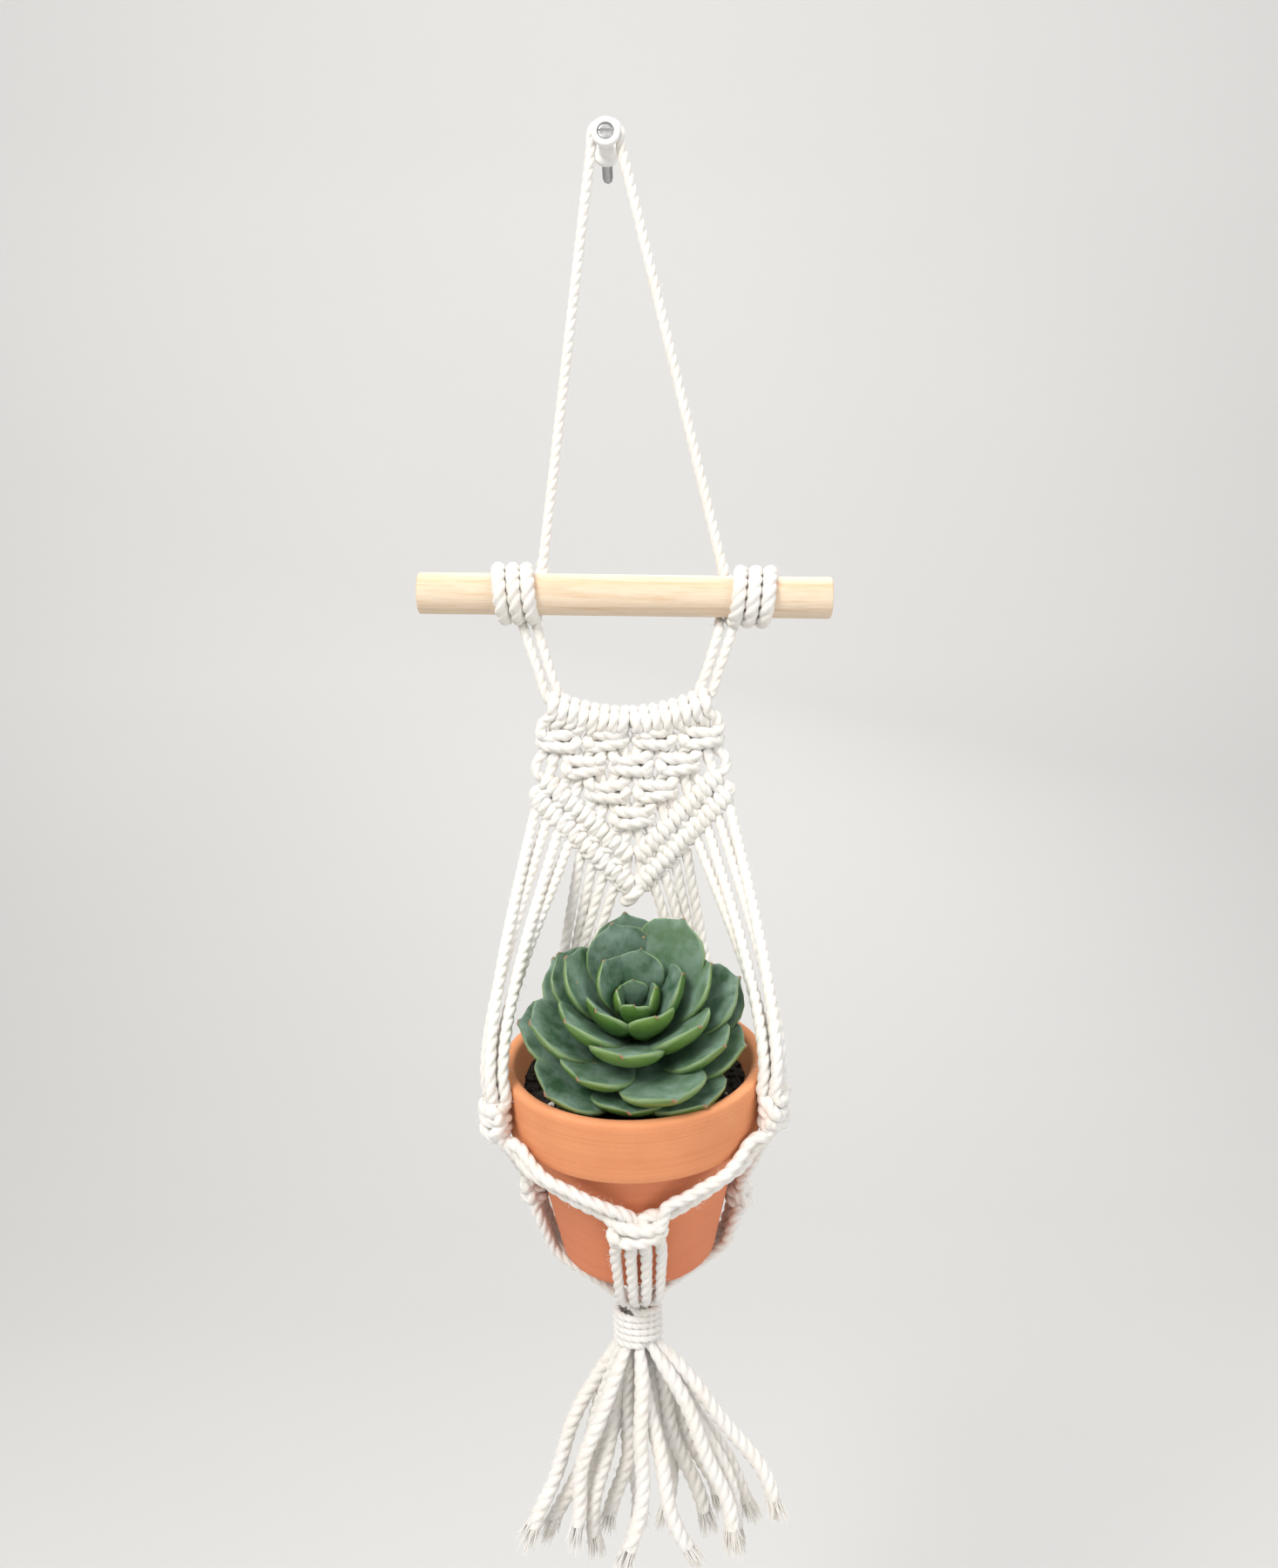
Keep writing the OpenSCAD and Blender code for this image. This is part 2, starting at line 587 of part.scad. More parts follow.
wall_peg();
peg_screw();
hanger_cord();
wrap_left();
wrap_right();
dowel();
yoke_left();
yoke_right();
header_cord();
lark_knots();
square_knots_1();
square_knots_2();
square_knots_3();
square_knots_4();
hitches_upper_left();
hitches_upper_right();
hitches_lower_left();
hitches_lower_right();
upper_cords_front_left();
upper_cords_front_right();
upper_cords_back_left();
upper_cords_back_right();
knot_front_left();
knot_front_right();
knot_back_left();
knot_back_right();
pair_front_left();
pair_front_right();
pair_side_left();
pair_side_right();
pair_rear_left();
pair_rear_right();
pair_back_left();
pair_back_right();
knot_lower_front();
knot_lower_left();
knot_lower_right();
knot_lower_back();
lower_cords_front();
lower_cords_left();
lower_cords_right();
lower_cords_back();
binding();
tassel_front();
tassel_left();
tassel_right();
tassel_back();
pot();
soil();
plant_stem();
outer_leaves();
middle_leaves();
inner_leaves();
heart_leaves();
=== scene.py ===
import json
import math
import random

import bmesh
import bpy
from mathutils import Matrix, Vector

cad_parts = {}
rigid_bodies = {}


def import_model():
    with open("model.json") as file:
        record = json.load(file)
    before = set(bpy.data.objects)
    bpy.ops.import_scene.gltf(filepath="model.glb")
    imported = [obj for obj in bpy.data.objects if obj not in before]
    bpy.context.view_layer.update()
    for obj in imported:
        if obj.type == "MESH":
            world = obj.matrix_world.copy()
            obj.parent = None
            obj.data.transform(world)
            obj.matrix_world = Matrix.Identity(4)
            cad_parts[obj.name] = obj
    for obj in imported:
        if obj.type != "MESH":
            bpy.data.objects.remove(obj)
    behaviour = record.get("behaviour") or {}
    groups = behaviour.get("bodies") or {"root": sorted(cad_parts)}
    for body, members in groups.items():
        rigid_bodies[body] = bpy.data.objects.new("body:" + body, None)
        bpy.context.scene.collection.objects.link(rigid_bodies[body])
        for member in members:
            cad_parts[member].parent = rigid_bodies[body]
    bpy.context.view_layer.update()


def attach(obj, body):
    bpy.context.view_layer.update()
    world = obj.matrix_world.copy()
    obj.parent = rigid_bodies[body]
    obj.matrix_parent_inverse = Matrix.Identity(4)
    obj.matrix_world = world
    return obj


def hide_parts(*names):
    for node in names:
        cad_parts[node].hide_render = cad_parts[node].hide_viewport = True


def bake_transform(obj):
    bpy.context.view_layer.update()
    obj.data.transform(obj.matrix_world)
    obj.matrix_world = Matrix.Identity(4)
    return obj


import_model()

MM = 0.001
rng = random.Random(7)
scene = bpy.context.scene
for spare in ("Cube", "Camera", "Light"):
    if spare in bpy.data.objects:
        bpy.data.objects.remove(bpy.data.objects[spare])


# ---------- camera ----------

lens = bpy.data.cameras.new("portrait_lens")
lens.lens = 28.3
lens.sensor_width = 36
lens.clip_start = 0.01
camera = bpy.data.objects.new("camera", lens)
camera.matrix_world = (Matrix.Translation((0.00467, -0.390, -0.1997))
                       @ Matrix.Rotation(math.radians(90), 4, "X")
                       @ Matrix.Rotation(math.radians(-1.6), 4, "Z"))
scene.collection.objects.link(camera)
scene.camera = camera


# ---------- sizes, in millimetres, the same as the part's ----------

CORD = 3.4                      # width of the cotton cord
BINDING_CORD = 2.0              # width of the cord that binds the tassel
LINE_Y = -10.0                  # the dowel and the panel hang in this plane
SEAT = 0.05
GAP = 0.3

DOWEL_MID = Vector((2.0, LINE_Y, -141.5))
DOWEL_D, DOWEL_LEN, DOWEL_TILT = 12.7, 127.0, math.radians(2.3)
TURN_R = DOWEL_D / 2 + CORD / 2 + SEAT
WRAP_PITCH, WRAP_TURNS = 4.4, 3
PEG_R, PEG_NECK_R, PEG_BORE_R = 4.5, 2.5, 1.35
LEG_MEET = 70
LEFT_WRAP, RIGHT_WRAP = -31.4, 40.8

PANEL_X = 2.4
PANEL_TOP = -172.0
PANEL_W = 49.0
TOP_SAG = 6.0
ROW_TOP = PANEL_TOP - 10.1
KNOT_PITCH, KNOT_ROW = 14.6, 8.0
KNOT_HALF_W, KNOT_DEPTH = 5.5, 2.4
HITCH_SLOPE = math.radians(44.5)
UPPER_POINT = ROW_TOP - 4 * KNOT_ROW - 9.5
LOWER_POINT = UPPER_POINT - 6.2 / math.cos(HITCH_SLOPE)
PANEL_POINT = LOWER_POINT - 3.0 / math.cos(HITCH_SLOPE)
POINT_GAP = 3.2
HITCH_GAP = 1.5                  # where the innermost hitch starts, from the point of its row
UPPER_STEP = (38 - HITCH_GAP) / 7
HITCH_STEP = (41.6 - HITCH_GAP) / 8
LOWER_STEP = (41.6 - POINT_GAP) / 8

POT_TILT = math.radians(16)
POT_D, POT_H, COLLAR_H, NECK_D, BASE_D, WALL = 74.0, 60.0, 18.0, 61.0, 44.0, 3.4
POT_AT = Vector((1.0, -8.4 - POT_D / 2 * math.cos(POT_TILT), PANEL_POINT - 39))
POT_PLACE = Matrix.Translation(POT_AT) @ Matrix.Rotation(POT_TILT, 4, "X")
COLLAR_R = POT_D / 2 - 1

BINDING_W, BINDING_H = 14.4, 10.8
TASSEL_LEN = 58.0
PLANT_PLACE = POT_PLACE @ Matrix.Translation((1.2, 0, -3)) @ Matrix.Rotation(math.radians(20), 4, "X")


def by_pot(a, r, h):
    """A point by its angle round the pot from the front, distance from the axis, height over the rim."""
    a = math.radians(a)
    return POT_PLACE @ Vector((r * math.sin(a), -r * math.cos(a), h))


def body_r(h):
    return NECK_D / 2 + (BASE_D - NECK_D) / 2 * (-h - COLLAR_H) / (POT_H - COLLAR_H)


UPPER_R = POT_D / 2 + GAP + 3.4
UPPER_H = 11.0                  # height of an upper knot
UPPER_KNOTS = {"front_left": (-65, UPPER_R, -8), "front_right": (65, UPPER_R, -8),
               "back_left": (-144, UPPER_R, -17), "back_right": (144, UPPER_R, -17)}
LOWER_KNOTS = {name: (a, body_r(h) + 4.0, h) for name, a, h in
               (("front", 0, -35), ("left", -90, -42), ("right", 90, -45), ("back", 180, -38))}
LOWER_SIZE = {"front": (16.0, 8.4), "left": (12.0, 9.0), "right": (12.0, 9.0), "back": (12.0, 9.0)}
HITCH_GAUGE, KNOT_GAUGE = 1.02, 1.14    # how plump the cord is, as a share of its width
BASE_MID = by_pot(0, 0, -POT_H)
BINDING_TOP = Vector((0, BASE_MID.y - 0.5, BASE_MID.z - 18.5))
BINDING_END = BINDING_TOP - Vector((0, 0, BINDING_H))
TASSEL_TOP = BINDING_END - Vector((0, 0, 1.6))


# ---------- small tools ----------

def mix(a, b, t):
    return a + (b - a) * t


def dowel_line(x):
    return DOWEL_MID.z - (x - DOWEL_MID.x) * math.tan(DOWEL_TILT)


def on_dowel(x, a, r):
    """A point on the turns: x across, a degrees round the dowel from straight up towards the front."""
    a = math.radians(a)
    return Vector((x + r * math.cos(a) * math.sin(DOWEL_TILT), LINE_Y - r * math.sin(a),
                   dowel_line(x) + r * math.cos(a) * math.cos(DOWEL_TILT)))


def header_z(x):
    return PANEL_TOP - TOP_SAG * (1 - (2 * x / PANEL_W) ** 2)


def cubic(a, b, c, d, n):
    out = []
    for i in range(n + 1):
        t, s = i / n, 1 - i / n
        out.append(s ** 3 * a + 3 * s * s * t * b + 3 * s * t * t * c + t ** 3 * d)
    return out


def smooth(points, step=0.6):
    """A rounded line through the points, with a point about every step."""
    pts = [Vector(p) for p in points]
    pts = [pts[0] * 2 - pts[1]] + pts + [pts[-1] * 2 - pts[-2]]
    out = []
    for p0, p1, p2, p3 in zip(pts, pts[1:], pts[2:], pts[3:]):
        t1 = max((p1 - p0).length, 0.01) ** 0.5
        t2 = t1 + max((p2 - p1).length, 0.01) ** 0.5
        t3 = t2 + max((p3 - p2).length, 0.01) ** 0.5
        n = max(2, round((p2 - p1).length / step))
        for i in range(n):
            t = t1 + (t2 - t1) * i / n
            first, middle, last = mix(p0, p1, t / t1), mix(p1, p2, i / n), mix(p2, p3, (t - t2) / (t3 - t2))
            out.append(mix(mix(first, middle, t / t2), mix(middle, last, (t - t1) / (t3 - t1)), i / n))
    out.append(pts[-2])
    return out


def share_of(value, low, high):
    """How far a value is on its way from low to high, 0 to 1."""
    return min(1, max(0, (value - low) / (high - low)))


# ---------- node trees ----------

class Nodes:
    """Adds nodes to a tree. An input takes a value or another node's output."""

    def __init__(self, tree):
        self.tree = tree

    def put(self, socket, value):
        if isinstance(value, bpy.types.NodeSocket):
            self.tree.links.new(value, socket)
        else:
            socket.default_value = (*value, 1) if socket.type == "RGBA" and len(value) == 3 else value

    def add(self, kind, inputs=(), **settings):
        node = self.tree.nodes.new(kind)
        for key, value in settings.items():
            setattr(node, key, value)
        for key, value in dict(inputs).items():
            self.put(node.inputs[key], value)
        return node

    def get(self, kind, inputs=(), **settings):
        return self.add(kind, inputs, **settings).outputs[0]

    def math(self, operation, *values):
        return self.get("ShaderNodeMath", dict(enumerate(values)), operation=operation)

    def times(self, a, b):
        return self.math("MULTIPLY", a, b)

    def plus(self, a, b):
        return self.math("ADD", a, b)

    def minus(self, a, b):
        return self.math("SUBTRACT", a, b)


class Tree(Nodes):
    """A geometry node tree with named sizes and a finish."""

    def __init__(self, name, sizes):
        super().__init__(bpy.data.node_groups.new(name, "GeometryNodeTree"))
        face = self.tree.interface
        face.new_socket("Geometry", in_out="INPUT", socket_type="NodeSocketGeometry")
        self.ids = {}
        for label, value in {**sizes, "Finish": None}.items():
            kind = {int: "Int", float: "Float", tuple: "Vector"}.get(type(value), "Material")
            socket = face.new_socket(label, in_out="INPUT", socket_type="NodeSocket" + kind)
            socket.default_value = value
            self.ids[label] = socket.identifier
        face.new_socket("Geometry", in_out="OUTPUT", socket_type="NodeSocketGeometry")
        self.size = self.tree.nodes.new("NodeGroupInput").outputs
        self.end = self.tree.nodes.new("NodeGroupOutput").inputs[0]

    def geo(self, kind, inputs=(), **settings):
        return self.get("GeometryNode" + kind, inputs, **settings)

    def chance(self, low, high, seed):
        """A random number between two, or three numbers at once."""
        kind = "FLOAT_VECTOR" if hasattr(low, "__len__") else "FLOAT"
        node = self.add("FunctionNodeRandomValue", data_type=kind)
        lowest, highest = [s for s in node.inputs if s.enabled][:2]
        self.put(lowest, low)
        self.put(highest, high)
        self.put(node.inputs["Seed"], seed)
        return next(s for s in node.outputs if s.enabled)

    def keep(self, geometry, label, kind, value):
        node = self.add("GeometryNodeCaptureAttribute")
        node.capture_items.new(kind, label)
        self.put(node.inputs[0], geometry)
        self.put(node.inputs[1], value)
        return node.outputs[0], node.outputs[1]

    def gauge(self):
        return self.geo("InputNamedAttribute", {"Name": "gauge"}, data_type="FLOAT")

    def circle(self, points, radius=1.0):
        return self.geo("CurvePrimitiveCircle", {"Resolution": points, "Radius": radius}, mode="RADIUS")

    def tube(self, line, ring, scale=1.0):
        return self.geo("CurveToMesh", {0: line, 1: ring, "Scale": scale, "Fill Caps": True})

    def finish(self, geometry):
        real = self.geo("SetShadeSmooth", {0: self.geo("RealizeInstances", {0: geometry})})
        self.put(self.end, self.geo("SetMaterial", {0: real, "Material": self.size["Finish"]}))


def placed(name, mesh):
    """A mesh as an object of the scene."""
    piece = bpy.data.objects.new(name, mesh)
    scene.collection.objects.link(piece)
    return piece


def grown(name, mesh, tree, sizes):
    """The plain mesh that a tree makes from a starting mesh."""
    host = placed(name + "_start", mesh)
    made = host.modifiers.new("make", "NODES")
    made.node_group = tree.tree
    for label, value in sizes.items():
        made[tree.ids[label]] = value
    graph = bpy.context.evaluated_depsgraph_get()
    result = bpy.data.meshes.new_from_object(host.evaluated_get(graph),
                                             preserve_all_data_layers=True, depsgraph=graph)
    bpy.data.objects.remove(host)
    result.name = name
    return placed(name, result)


FLUFF = 90000.0                 # loose fibres on a square metre of cord
TWIST = 3.1                     # length of one full twist, in cord widths


def laid_cord_tree():
    """Three-ply twisted cord along every line of a mesh, with loose fibres standing off it."""
    g = Tree("Laid cord", {
        "Cord width": 0.0034, "Twist length": 0.0105, "Ring spacing": 0.0007, "Points round": 18,
        "Ply centre": 0.36, "Fibres per area": FLUFF, "Fibre length": 0.0013, "Seed": 3})
    s = g.size
    half = g.times(s["Cord width"], 0.5)
    line = g.geo("MeshToCurve", {0: s["Geometry"]})
    line = g.geo("ResampleCurve", {0: line, "Length": s["Ring spacing"]}, mode="LENGTH")
    along = g.add("GeometryNodeSplineParameter").outputs["Length"]
    line, along = g.keep(line, "Along", "FLOAT", along)
    turn = g.times(g.math("DIVIDE", along, s["Twist length"]), math.tau)
    line = g.geo("SetCurveTilt", {0: line, "Tilt": turn})

    # The cord's cut: three plies, each round its own centre
    at = g.geo("InputPosition")
    parts = g.add("ShaderNodeSeparateXYZ", {0: at}).outputs
    fold = g.math("WRAP", g.math("ARCTAN2", parts[1], parts[0]), math.pi / 3, -math.pi / 3)
    centre = s["Ply centre"]
    off = g.times(centre, g.math("SINE", fold))
    ply = g.minus(1.0, centre)
    rest = g.minus(g.times(ply, ply), g.times(off, off))
    reach = g.plus(g.times(centre, g.math("COSINE", fold)), g.math("SQRT", rest))
    lobed = g.get("ShaderNodeVectorMath", {0: at, "Scale": reach}, operation="SCALE")
    ring = g.geo("SetPosition", {0: g.circle(s["Points round"]), "Position": lobed})
    ring, across = g.keep(ring, "Across", "VECTOR", g.geo("InputPosition"))

    tube = g.tube(line, ring, g.times(g.gauge(), half))
    cut = g.add("ShaderNodeSeparateXYZ", {0: across}).outputs
    lay = g.get("ShaderNodeCombineXYZ", {0: cut[0], 1: cut[1], 2: g.math("DIVIDE", along, half)})
    tube = g.geo("StoreNamedAttribute", {0: tube, "Name": "lay", "Value": lay},
                 data_type="FLOAT_VECTOR", domain="POINT")

    spots = g.add("GeometryNodeDistributePointsOnFaces",
                  {0: tube, "Density": s["Fibres per area"], "Seed": s["Seed"]}).outputs
    bend = g.geo("CurveQuadraticBezier",
                 {"Resolution": 3, "Start": (0, 0, -0.1), "Middle": (0.05, 0, 0.55), "End": (0.5, 0.1, 0.9)})
    lean = g.get("FunctionNodeEulerToRotation", {0: g.chance((0.6, 0, 0), (1.35, 0, math.tau), s["Seed"])})
    way = g.get("FunctionNodeRotateRotation", {0: spots["Rotation"], 1: lean}, rotation_space="LOCAL")
    size = g.times(g.chance(0.5, 1.5, s["Seed"]), s["Fibre length"])
    fluff = g.geo("InstanceOnPoints", {"Points": spots[0], "Instance": g.tube(bend, g.circle(3, 0.024)),
                                       "Rotation": way, "Scale": size})
    both = g.add("GeometryNodeJoinGeometry", {0: fluff})
    g.put(both.inputs[0], tube)
    g.finish(both.outputs[0])
    return g


LAID = laid_cord_tree()


def lines(name, routes):
    """A mesh of bare lines. Each route is (points in mm, gauge), gauge being a share of the cord's width."""
    mesh = bpy.data.meshes.new(name)
    verts, edges, gauge = [], [], []
    for points, g in routes:
        first = len(verts)
        verts += [p * MM for p in points]
        edges += [(first + i, first + i + 1) for i in range(len(points) - 1)]
        gauge += g if isinstance(g, list) else [g] * len(points)
    mesh.from_pydata(verts, edges, [])
    mesh.attributes.new("gauge", "FLOAT", "POINT").data.foreach_set("value", gauge)
    return mesh


def laid_cord(name, routes, finish, width=CORD, seed=1, fluff=1.0, **sizes):
    values = {"Cord width": width * MM, "Twist length": width * TWIST * MM, "Seed": seed, "Finish": finish,
              "Fibres per area": FLUFF * fluff}
    values.update(sizes)
    return grown(name, lines(name, routes), LAID, values)


# ---------- finishes ----------

BLACK, WHITE = (0, 0, 0), (1, 1, 1)


class Finish(Nodes):
    """A material round one shader."""

    def __init__(self, name, **values):
        self.mat = bpy.data.materials.new(name)
        self.mat.use_nodes = True
        super().__init__(self.mat.node_tree)
        self.shader = self.tree.nodes["Principled BSDF"].inputs
        for key, value in values.items():
            self.shader[key.replace("_", " ")].default_value = value

    def place(self):
        return self.add("ShaderNodeTexCoord").outputs["Object"]

    def carried(self, name, scale=(1, 1, 1)):
        """A place that the mesh carries as an attribute."""
        at = self.add("ShaderNodeAttribute", attribute_name=name).outputs["Vector"]
        return self.get("ShaderNodeMapping", {0: at, "Scale": scale})

    def noise(self, at, scale=1.0, detail=2.0, rough=0.5, twist=0.0):
        return self.get("ShaderNodeTexNoise", {0: at, "Scale": scale, "Detail": detail, "Roughness": rough,
                                               "Distortion": twist})

    def height(self, at, low, high):
        """Height from low to high, as 0 to 1."""
        z = self.add("ShaderNodeSeparateXYZ", {0: at}).outputs[2]
        return self.get("ShaderNodeMapRange", {0: z, 1: low, 2: high})

    def ramp(self, fac, *stops):
        node = self.add("ShaderNodeValToRGB", {0: fac})
        band = node.color_ramp
        while len(band.elements) < len(stops):
            band.elements.new(0.5)
        for element, (place, colour) in zip(band.elements, stops):
            element.position = place
            element.color = (*colour, 1)
        return node.outputs[0]

    def over(self, fac, a, b, mode="MIX"):
        """Colour b over colour a."""
        node = self.add("ShaderNodeMix", data_type="RGBA", blend_type=mode)
        for socket, value in zip([s for s in node.inputs if s.enabled], (fac, a, b)):
            self.put(socket, value)
        return next(s for s in node.outputs if s.enabled)

    def stained(self, fac, a, b):
        """Colour b multiplied into colour a."""
        return self.over(fac, a, b, "MULTIPLY")

    def done(self, colour, height, strength, depth):
        self.put(self.shader["Base Color"], colour)
        self.put(self.shader["Normal"], self.get("ShaderNodeBump", {"Height": height, "Strength": strength,
                                                                    "Distance": depth}))
        return self.mat


def cotton_finish(name, tint):
    f = Finish(name, Roughness=0.92, Sheen_Weight=0.35, Sheen_Roughness=0.5, Specular_IOR_Level=0.2,
               Subsurface_Weight=0.12, Subsurface_Scale=0.002, Subsurface_Radius=(1.0, 0.85, 0.7))
    yarn = f.noise(f.carried("lay", (5.5, 5.5, 0.55)), 1.0, 3.0, 0.65)
    shade = f.ramp(yarn, (0.25, [c * 0.86 for c in tint]), (0.52, tint),
                   (0.8, [min(1, c * 1.07) for c in tint]))
    warm = f.ramp(f.noise(f.place(), 90.0), (0.35, (1.0, 0.975, 0.94)), (0.65, WHITE))
    return f.done(f.stained(1.0, shade, warm), yarn, 0.55, 0.0004)


def pine_finish():
    f = Finish("sanded_pine", Roughness=0.5, Specular_IOR_Level=0.35)
    rings = f.noise(f.carried("local", (0.022, 0.35, 0.5)), 1.0, 4.0, 0.55, 0.4)
    fine = f.noise(f.carried("local", (0.16, 3.2, 3.2)), 1.0, 5.0, 0.7)
    streak = f.noise(f.carried("local", (0.05, 1.2, 1.2)))
    band = f.ramp(f.height(f.carried("local"), -6.4, 6.4),
                  (0.0, (0.78, 0.64, 0.50)), (0.42, (0.84, 0.70, 0.54)), (0.60, (0.80, 0.63, 0.47)),
                  (0.74, (0.79, 0.57, 0.39)), (0.86, (0.80, 0.65, 0.50)), (1.0, (0.82, 0.71, 0.58)))
    tone = f.ramp(rings, (0.3, (0.86, 0.78, 0.68)), (0.5, WHITE), (0.72, (0.93, 0.86, 0.76)))
    colour = f.stained(0.8, band, tone)
    colour = f.stained(0.7, colour, f.ramp(streak, (0.58, WHITE), (0.75, (0.88, 0.74, 0.58))))
    colour = f.stained(0.7, colour, f.ramp(fine, (0.35, (0.88, 0.82, 0.74)), (0.55, WHITE)))
    return f.done(colour, fine, 0.18, 0.0003)


def clay_finish():
    f = Finish("terracotta", Roughness=0.86, Specular_IOR_Level=0.25)
    place = f.carried("local")
    cloud = f.noise(place, 0.045, 3.0, 0.6)
    grain = f.noise(place, 2.6, 3.0, 0.7)
    throw = f.noise(f.carried("local", (0.012, 0.012, 0.9)), 1.0, 4.0, 0.6)
    base = f.ramp(f.height(place, -POT_H, 0.0),
                  (0.0, (0.68, 0.235, 0.12)), (0.68, (0.73, 0.27, 0.135)), (0.71, (0.77, 0.315, 0.148)),
                  (1.0, (0.79, 0.33, 0.155)))
    tone = f.ramp(cloud, (0.3, (0.92, 0.88, 0.86)), (0.6, WHITE), (0.8, (1.0, 0.97, 0.94)))
    colour = f.stained(0.9, base, tone)
    colour = f.stained(0.5, colour, f.ramp(throw, (0.38, (0.93, 0.88, 0.84)), (0.5, WHITE)))
    colour = f.stained(0.6, colour, f.ramp(grain, (0.3, (0.9, 0.86, 0.82)), (0.5, WHITE)))
    return f.done(colour, f.plus(f.times(grain, 0.35), throw), 0.35, 0.0005)


def leaf_finish():
    """Reads 'leaf': share of the length, distance from the midline, upper or under side; and 'tone'."""
    f = Finish("leaf_skin", Specular_IOR_Level=0.45, Subsurface_Weight=0.12, Subsurface_Scale=0.002,
               Subsurface_Radius=(0.5, 1.0, 0.3))
    along, off_middle, upper = f.add("ShaderNodeSeparateXYZ", {0: f.carried("leaf")}).outputs
    tone = f.add("ShaderNodeAttribute", attribute_name="tone").outputs["Fac"]
    place = f.place()
    cloud = f.noise(place, 160.0, 4.0, 0.6)
    body = f.ramp(tone, (0.0, (0.038, 0.095, 0.052)), (0.5, (0.060, 0.132, 0.075)), (1.0, (0.10, 0.19, 0.10)))
    under = f.ramp(tone, (0.0, (0.06, 0.15, 0.028)), (1.0, (0.11, 0.22, 0.045)))
    # Painted shade: each leaf darkens towards its root, deep in the rosette where the leaves crowd; towards
    # the tip it turns lighter and warmer
    root = f.ramp(along, (0.1, (0.5, 0.65, 0.5)), (0.6, WHITE), (1.0, (1.15, 1.05, 0.95)))
    colour = f.stained(1.0, f.over(upper, under, body), root)
    dust = f.times(cloud, upper)
    few = f.ramp(f.noise(place, 70.0), (0.56, BLACK), (0.62, WHITE))
    dots = f.add("ShaderNodeTexVoronoi", {0: place, "Scale": 210.0, "Randomness": 1.0}).outputs["Distance"]
    spots = f.times(f.ramp(dots, (0.05, WHITE), (0.10, BLACK)), few)
    for share, tint in ((f.ramp(dust, (0.36, BLACK), (0.72, WHITE)), (0.21, 0.31, 0.25)),
                        (f.ramp(off_middle, (0.94, BLACK), (0.995, (0.6, 0.6, 0.6))), (0.34, 0.44, 0.24)),
                        (f.ramp(along, (0.982, BLACK), (1.0, WHITE)), (0.34, 0.16, 0.09)),
                        (spots, (0.42, 0.27, 0.15))):
        colour = f.over(share, colour, tint)
    f.put(f.shader["Roughness"], f.get("ShaderNodeMapRange", {0: dust, 1: 0.2, 2: 0.7, 3: 0.3, 4: 0.62}))
    return f.done(colour, cloud, 0.2, 0.0003)


def speckled_finish(name, dark, pale, scale, rough, spec, metal, depth):
    f = Finish(name, Roughness=rough, Specular_IOR_Level=spec, Metallic=metal)
    grain = f.noise(f.place(), scale, 5.0, 0.65)
    return f.done(f.ramp(grain, (0.35, dark), (0.65, pale)), grain, depth, 0.0004)


COTTON = cotton_finish("cotton_cord", (0.88, 0.86, 0.825))
BOUND = cotton_finish("cotton_binding", (0.89, 0.875, 0.845))
PINE = pine_finish()
CLAY = clay_finish()
LEAF = leaf_finish()
# Name, dark and pale tint, grain's scale, roughness, gloss, metal, depth of the grain
PEG, STEEL, SOIL, PERLITE, STEM = (speckled_finish(*row) for row in (
    ("peg_white", (0.78, 0.77, 0.75), (0.88, 0.87, 0.85), 300.0, 0.35, 0.5, 0.0, 0.05),
    ("screw_steel", (0.42, 0.42, 0.42), (0.6, 0.6, 0.6), 900.0, 0.35, 0.5, 1.0, 0.05),
    ("potting_soil", (0.010, 0.009, 0.008), (0.055, 0.048, 0.042), 700.0, 0.95, 0.2, 0.0, 0.9),
    ("perlite", (0.6, 0.58, 0.54), (0.85, 0.83, 0.8), 900.0, 0.9, 0.2, 0.0, 0.6),
    ("stem_skin", (0.12, 0.15, 0.07), (0.25, 0.3, 0.14), 260.0, 0.6, 0.3, 0.0, 0.4)))


# ---------- hanger cord: left wrap, up over the peg, down to the right wrap ----------

def wrap_route(start_x, side):
    """From where a leg meets the dowel, outwards along it."""
    out = []
    for i in range(20 * WRAP_TURNS + 1):
        t = i / 20
        settle = 0.35 * math.sin(2.1 * t + start_x)
        out.append(on_dowel(start_x + side * (WRAP_PITCH * t + 0.25 * settle), -LEG_MEET - 360 * t,
                            TURN_R - 0.6 + 0.08 * settle))
    return out


left_x = LEFT_WRAP + WRAP_PITCH * WRAP_TURNS / 2
right_x = RIGHT_WRAP - WRAP_PITCH * WRAP_TURNS / 2
bend_r = PEG_NECK_R + GAP + CORD / 2
left_turns, right_turns = wrap_route(left_x, -1), wrap_route(right_x, 1)
peak = [Vector((bend_r * math.cos(math.radians(a)), LINE_Y, bend_r * math.sin(math.radians(a))))
        for a in range(180, -1, -20)]
left_leg = [mix(left_turns[0], Vector((-bend_r * 1.02, LINE_Y, -3)), i / 12) for i in range(1, 13)]
right_leg = [mix(Vector((bend_r * 1.02, LINE_Y, -3)), right_turns[0], i / 12) for i in range(12)]
hanger_line = smooth(left_turns[::-1] + left_leg + peak + right_leg + right_turns)


def wrap_gauge(p):
    """The turns spread flat on the dowel, so the cord is wider there."""
    off = math.hypot(p.y - LINE_Y, p.z - dowel_line(p.x))
    return mix(1.36, 1.0, share_of(off, 9.5, 13.5))


hanger = laid_cord("hanger_cord_laid", [(hanger_line, [wrap_gauge(p) for p in hanger_line])], COTTON, seed=11,
                   **{"Points round": 24, "Ring spacing": 0.0006})
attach(hanger, "hanger")
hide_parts("hanger_cord", "wrap_left", "wrap_right")


# ---------- the panel: two holding cords, sixteen strands ----------

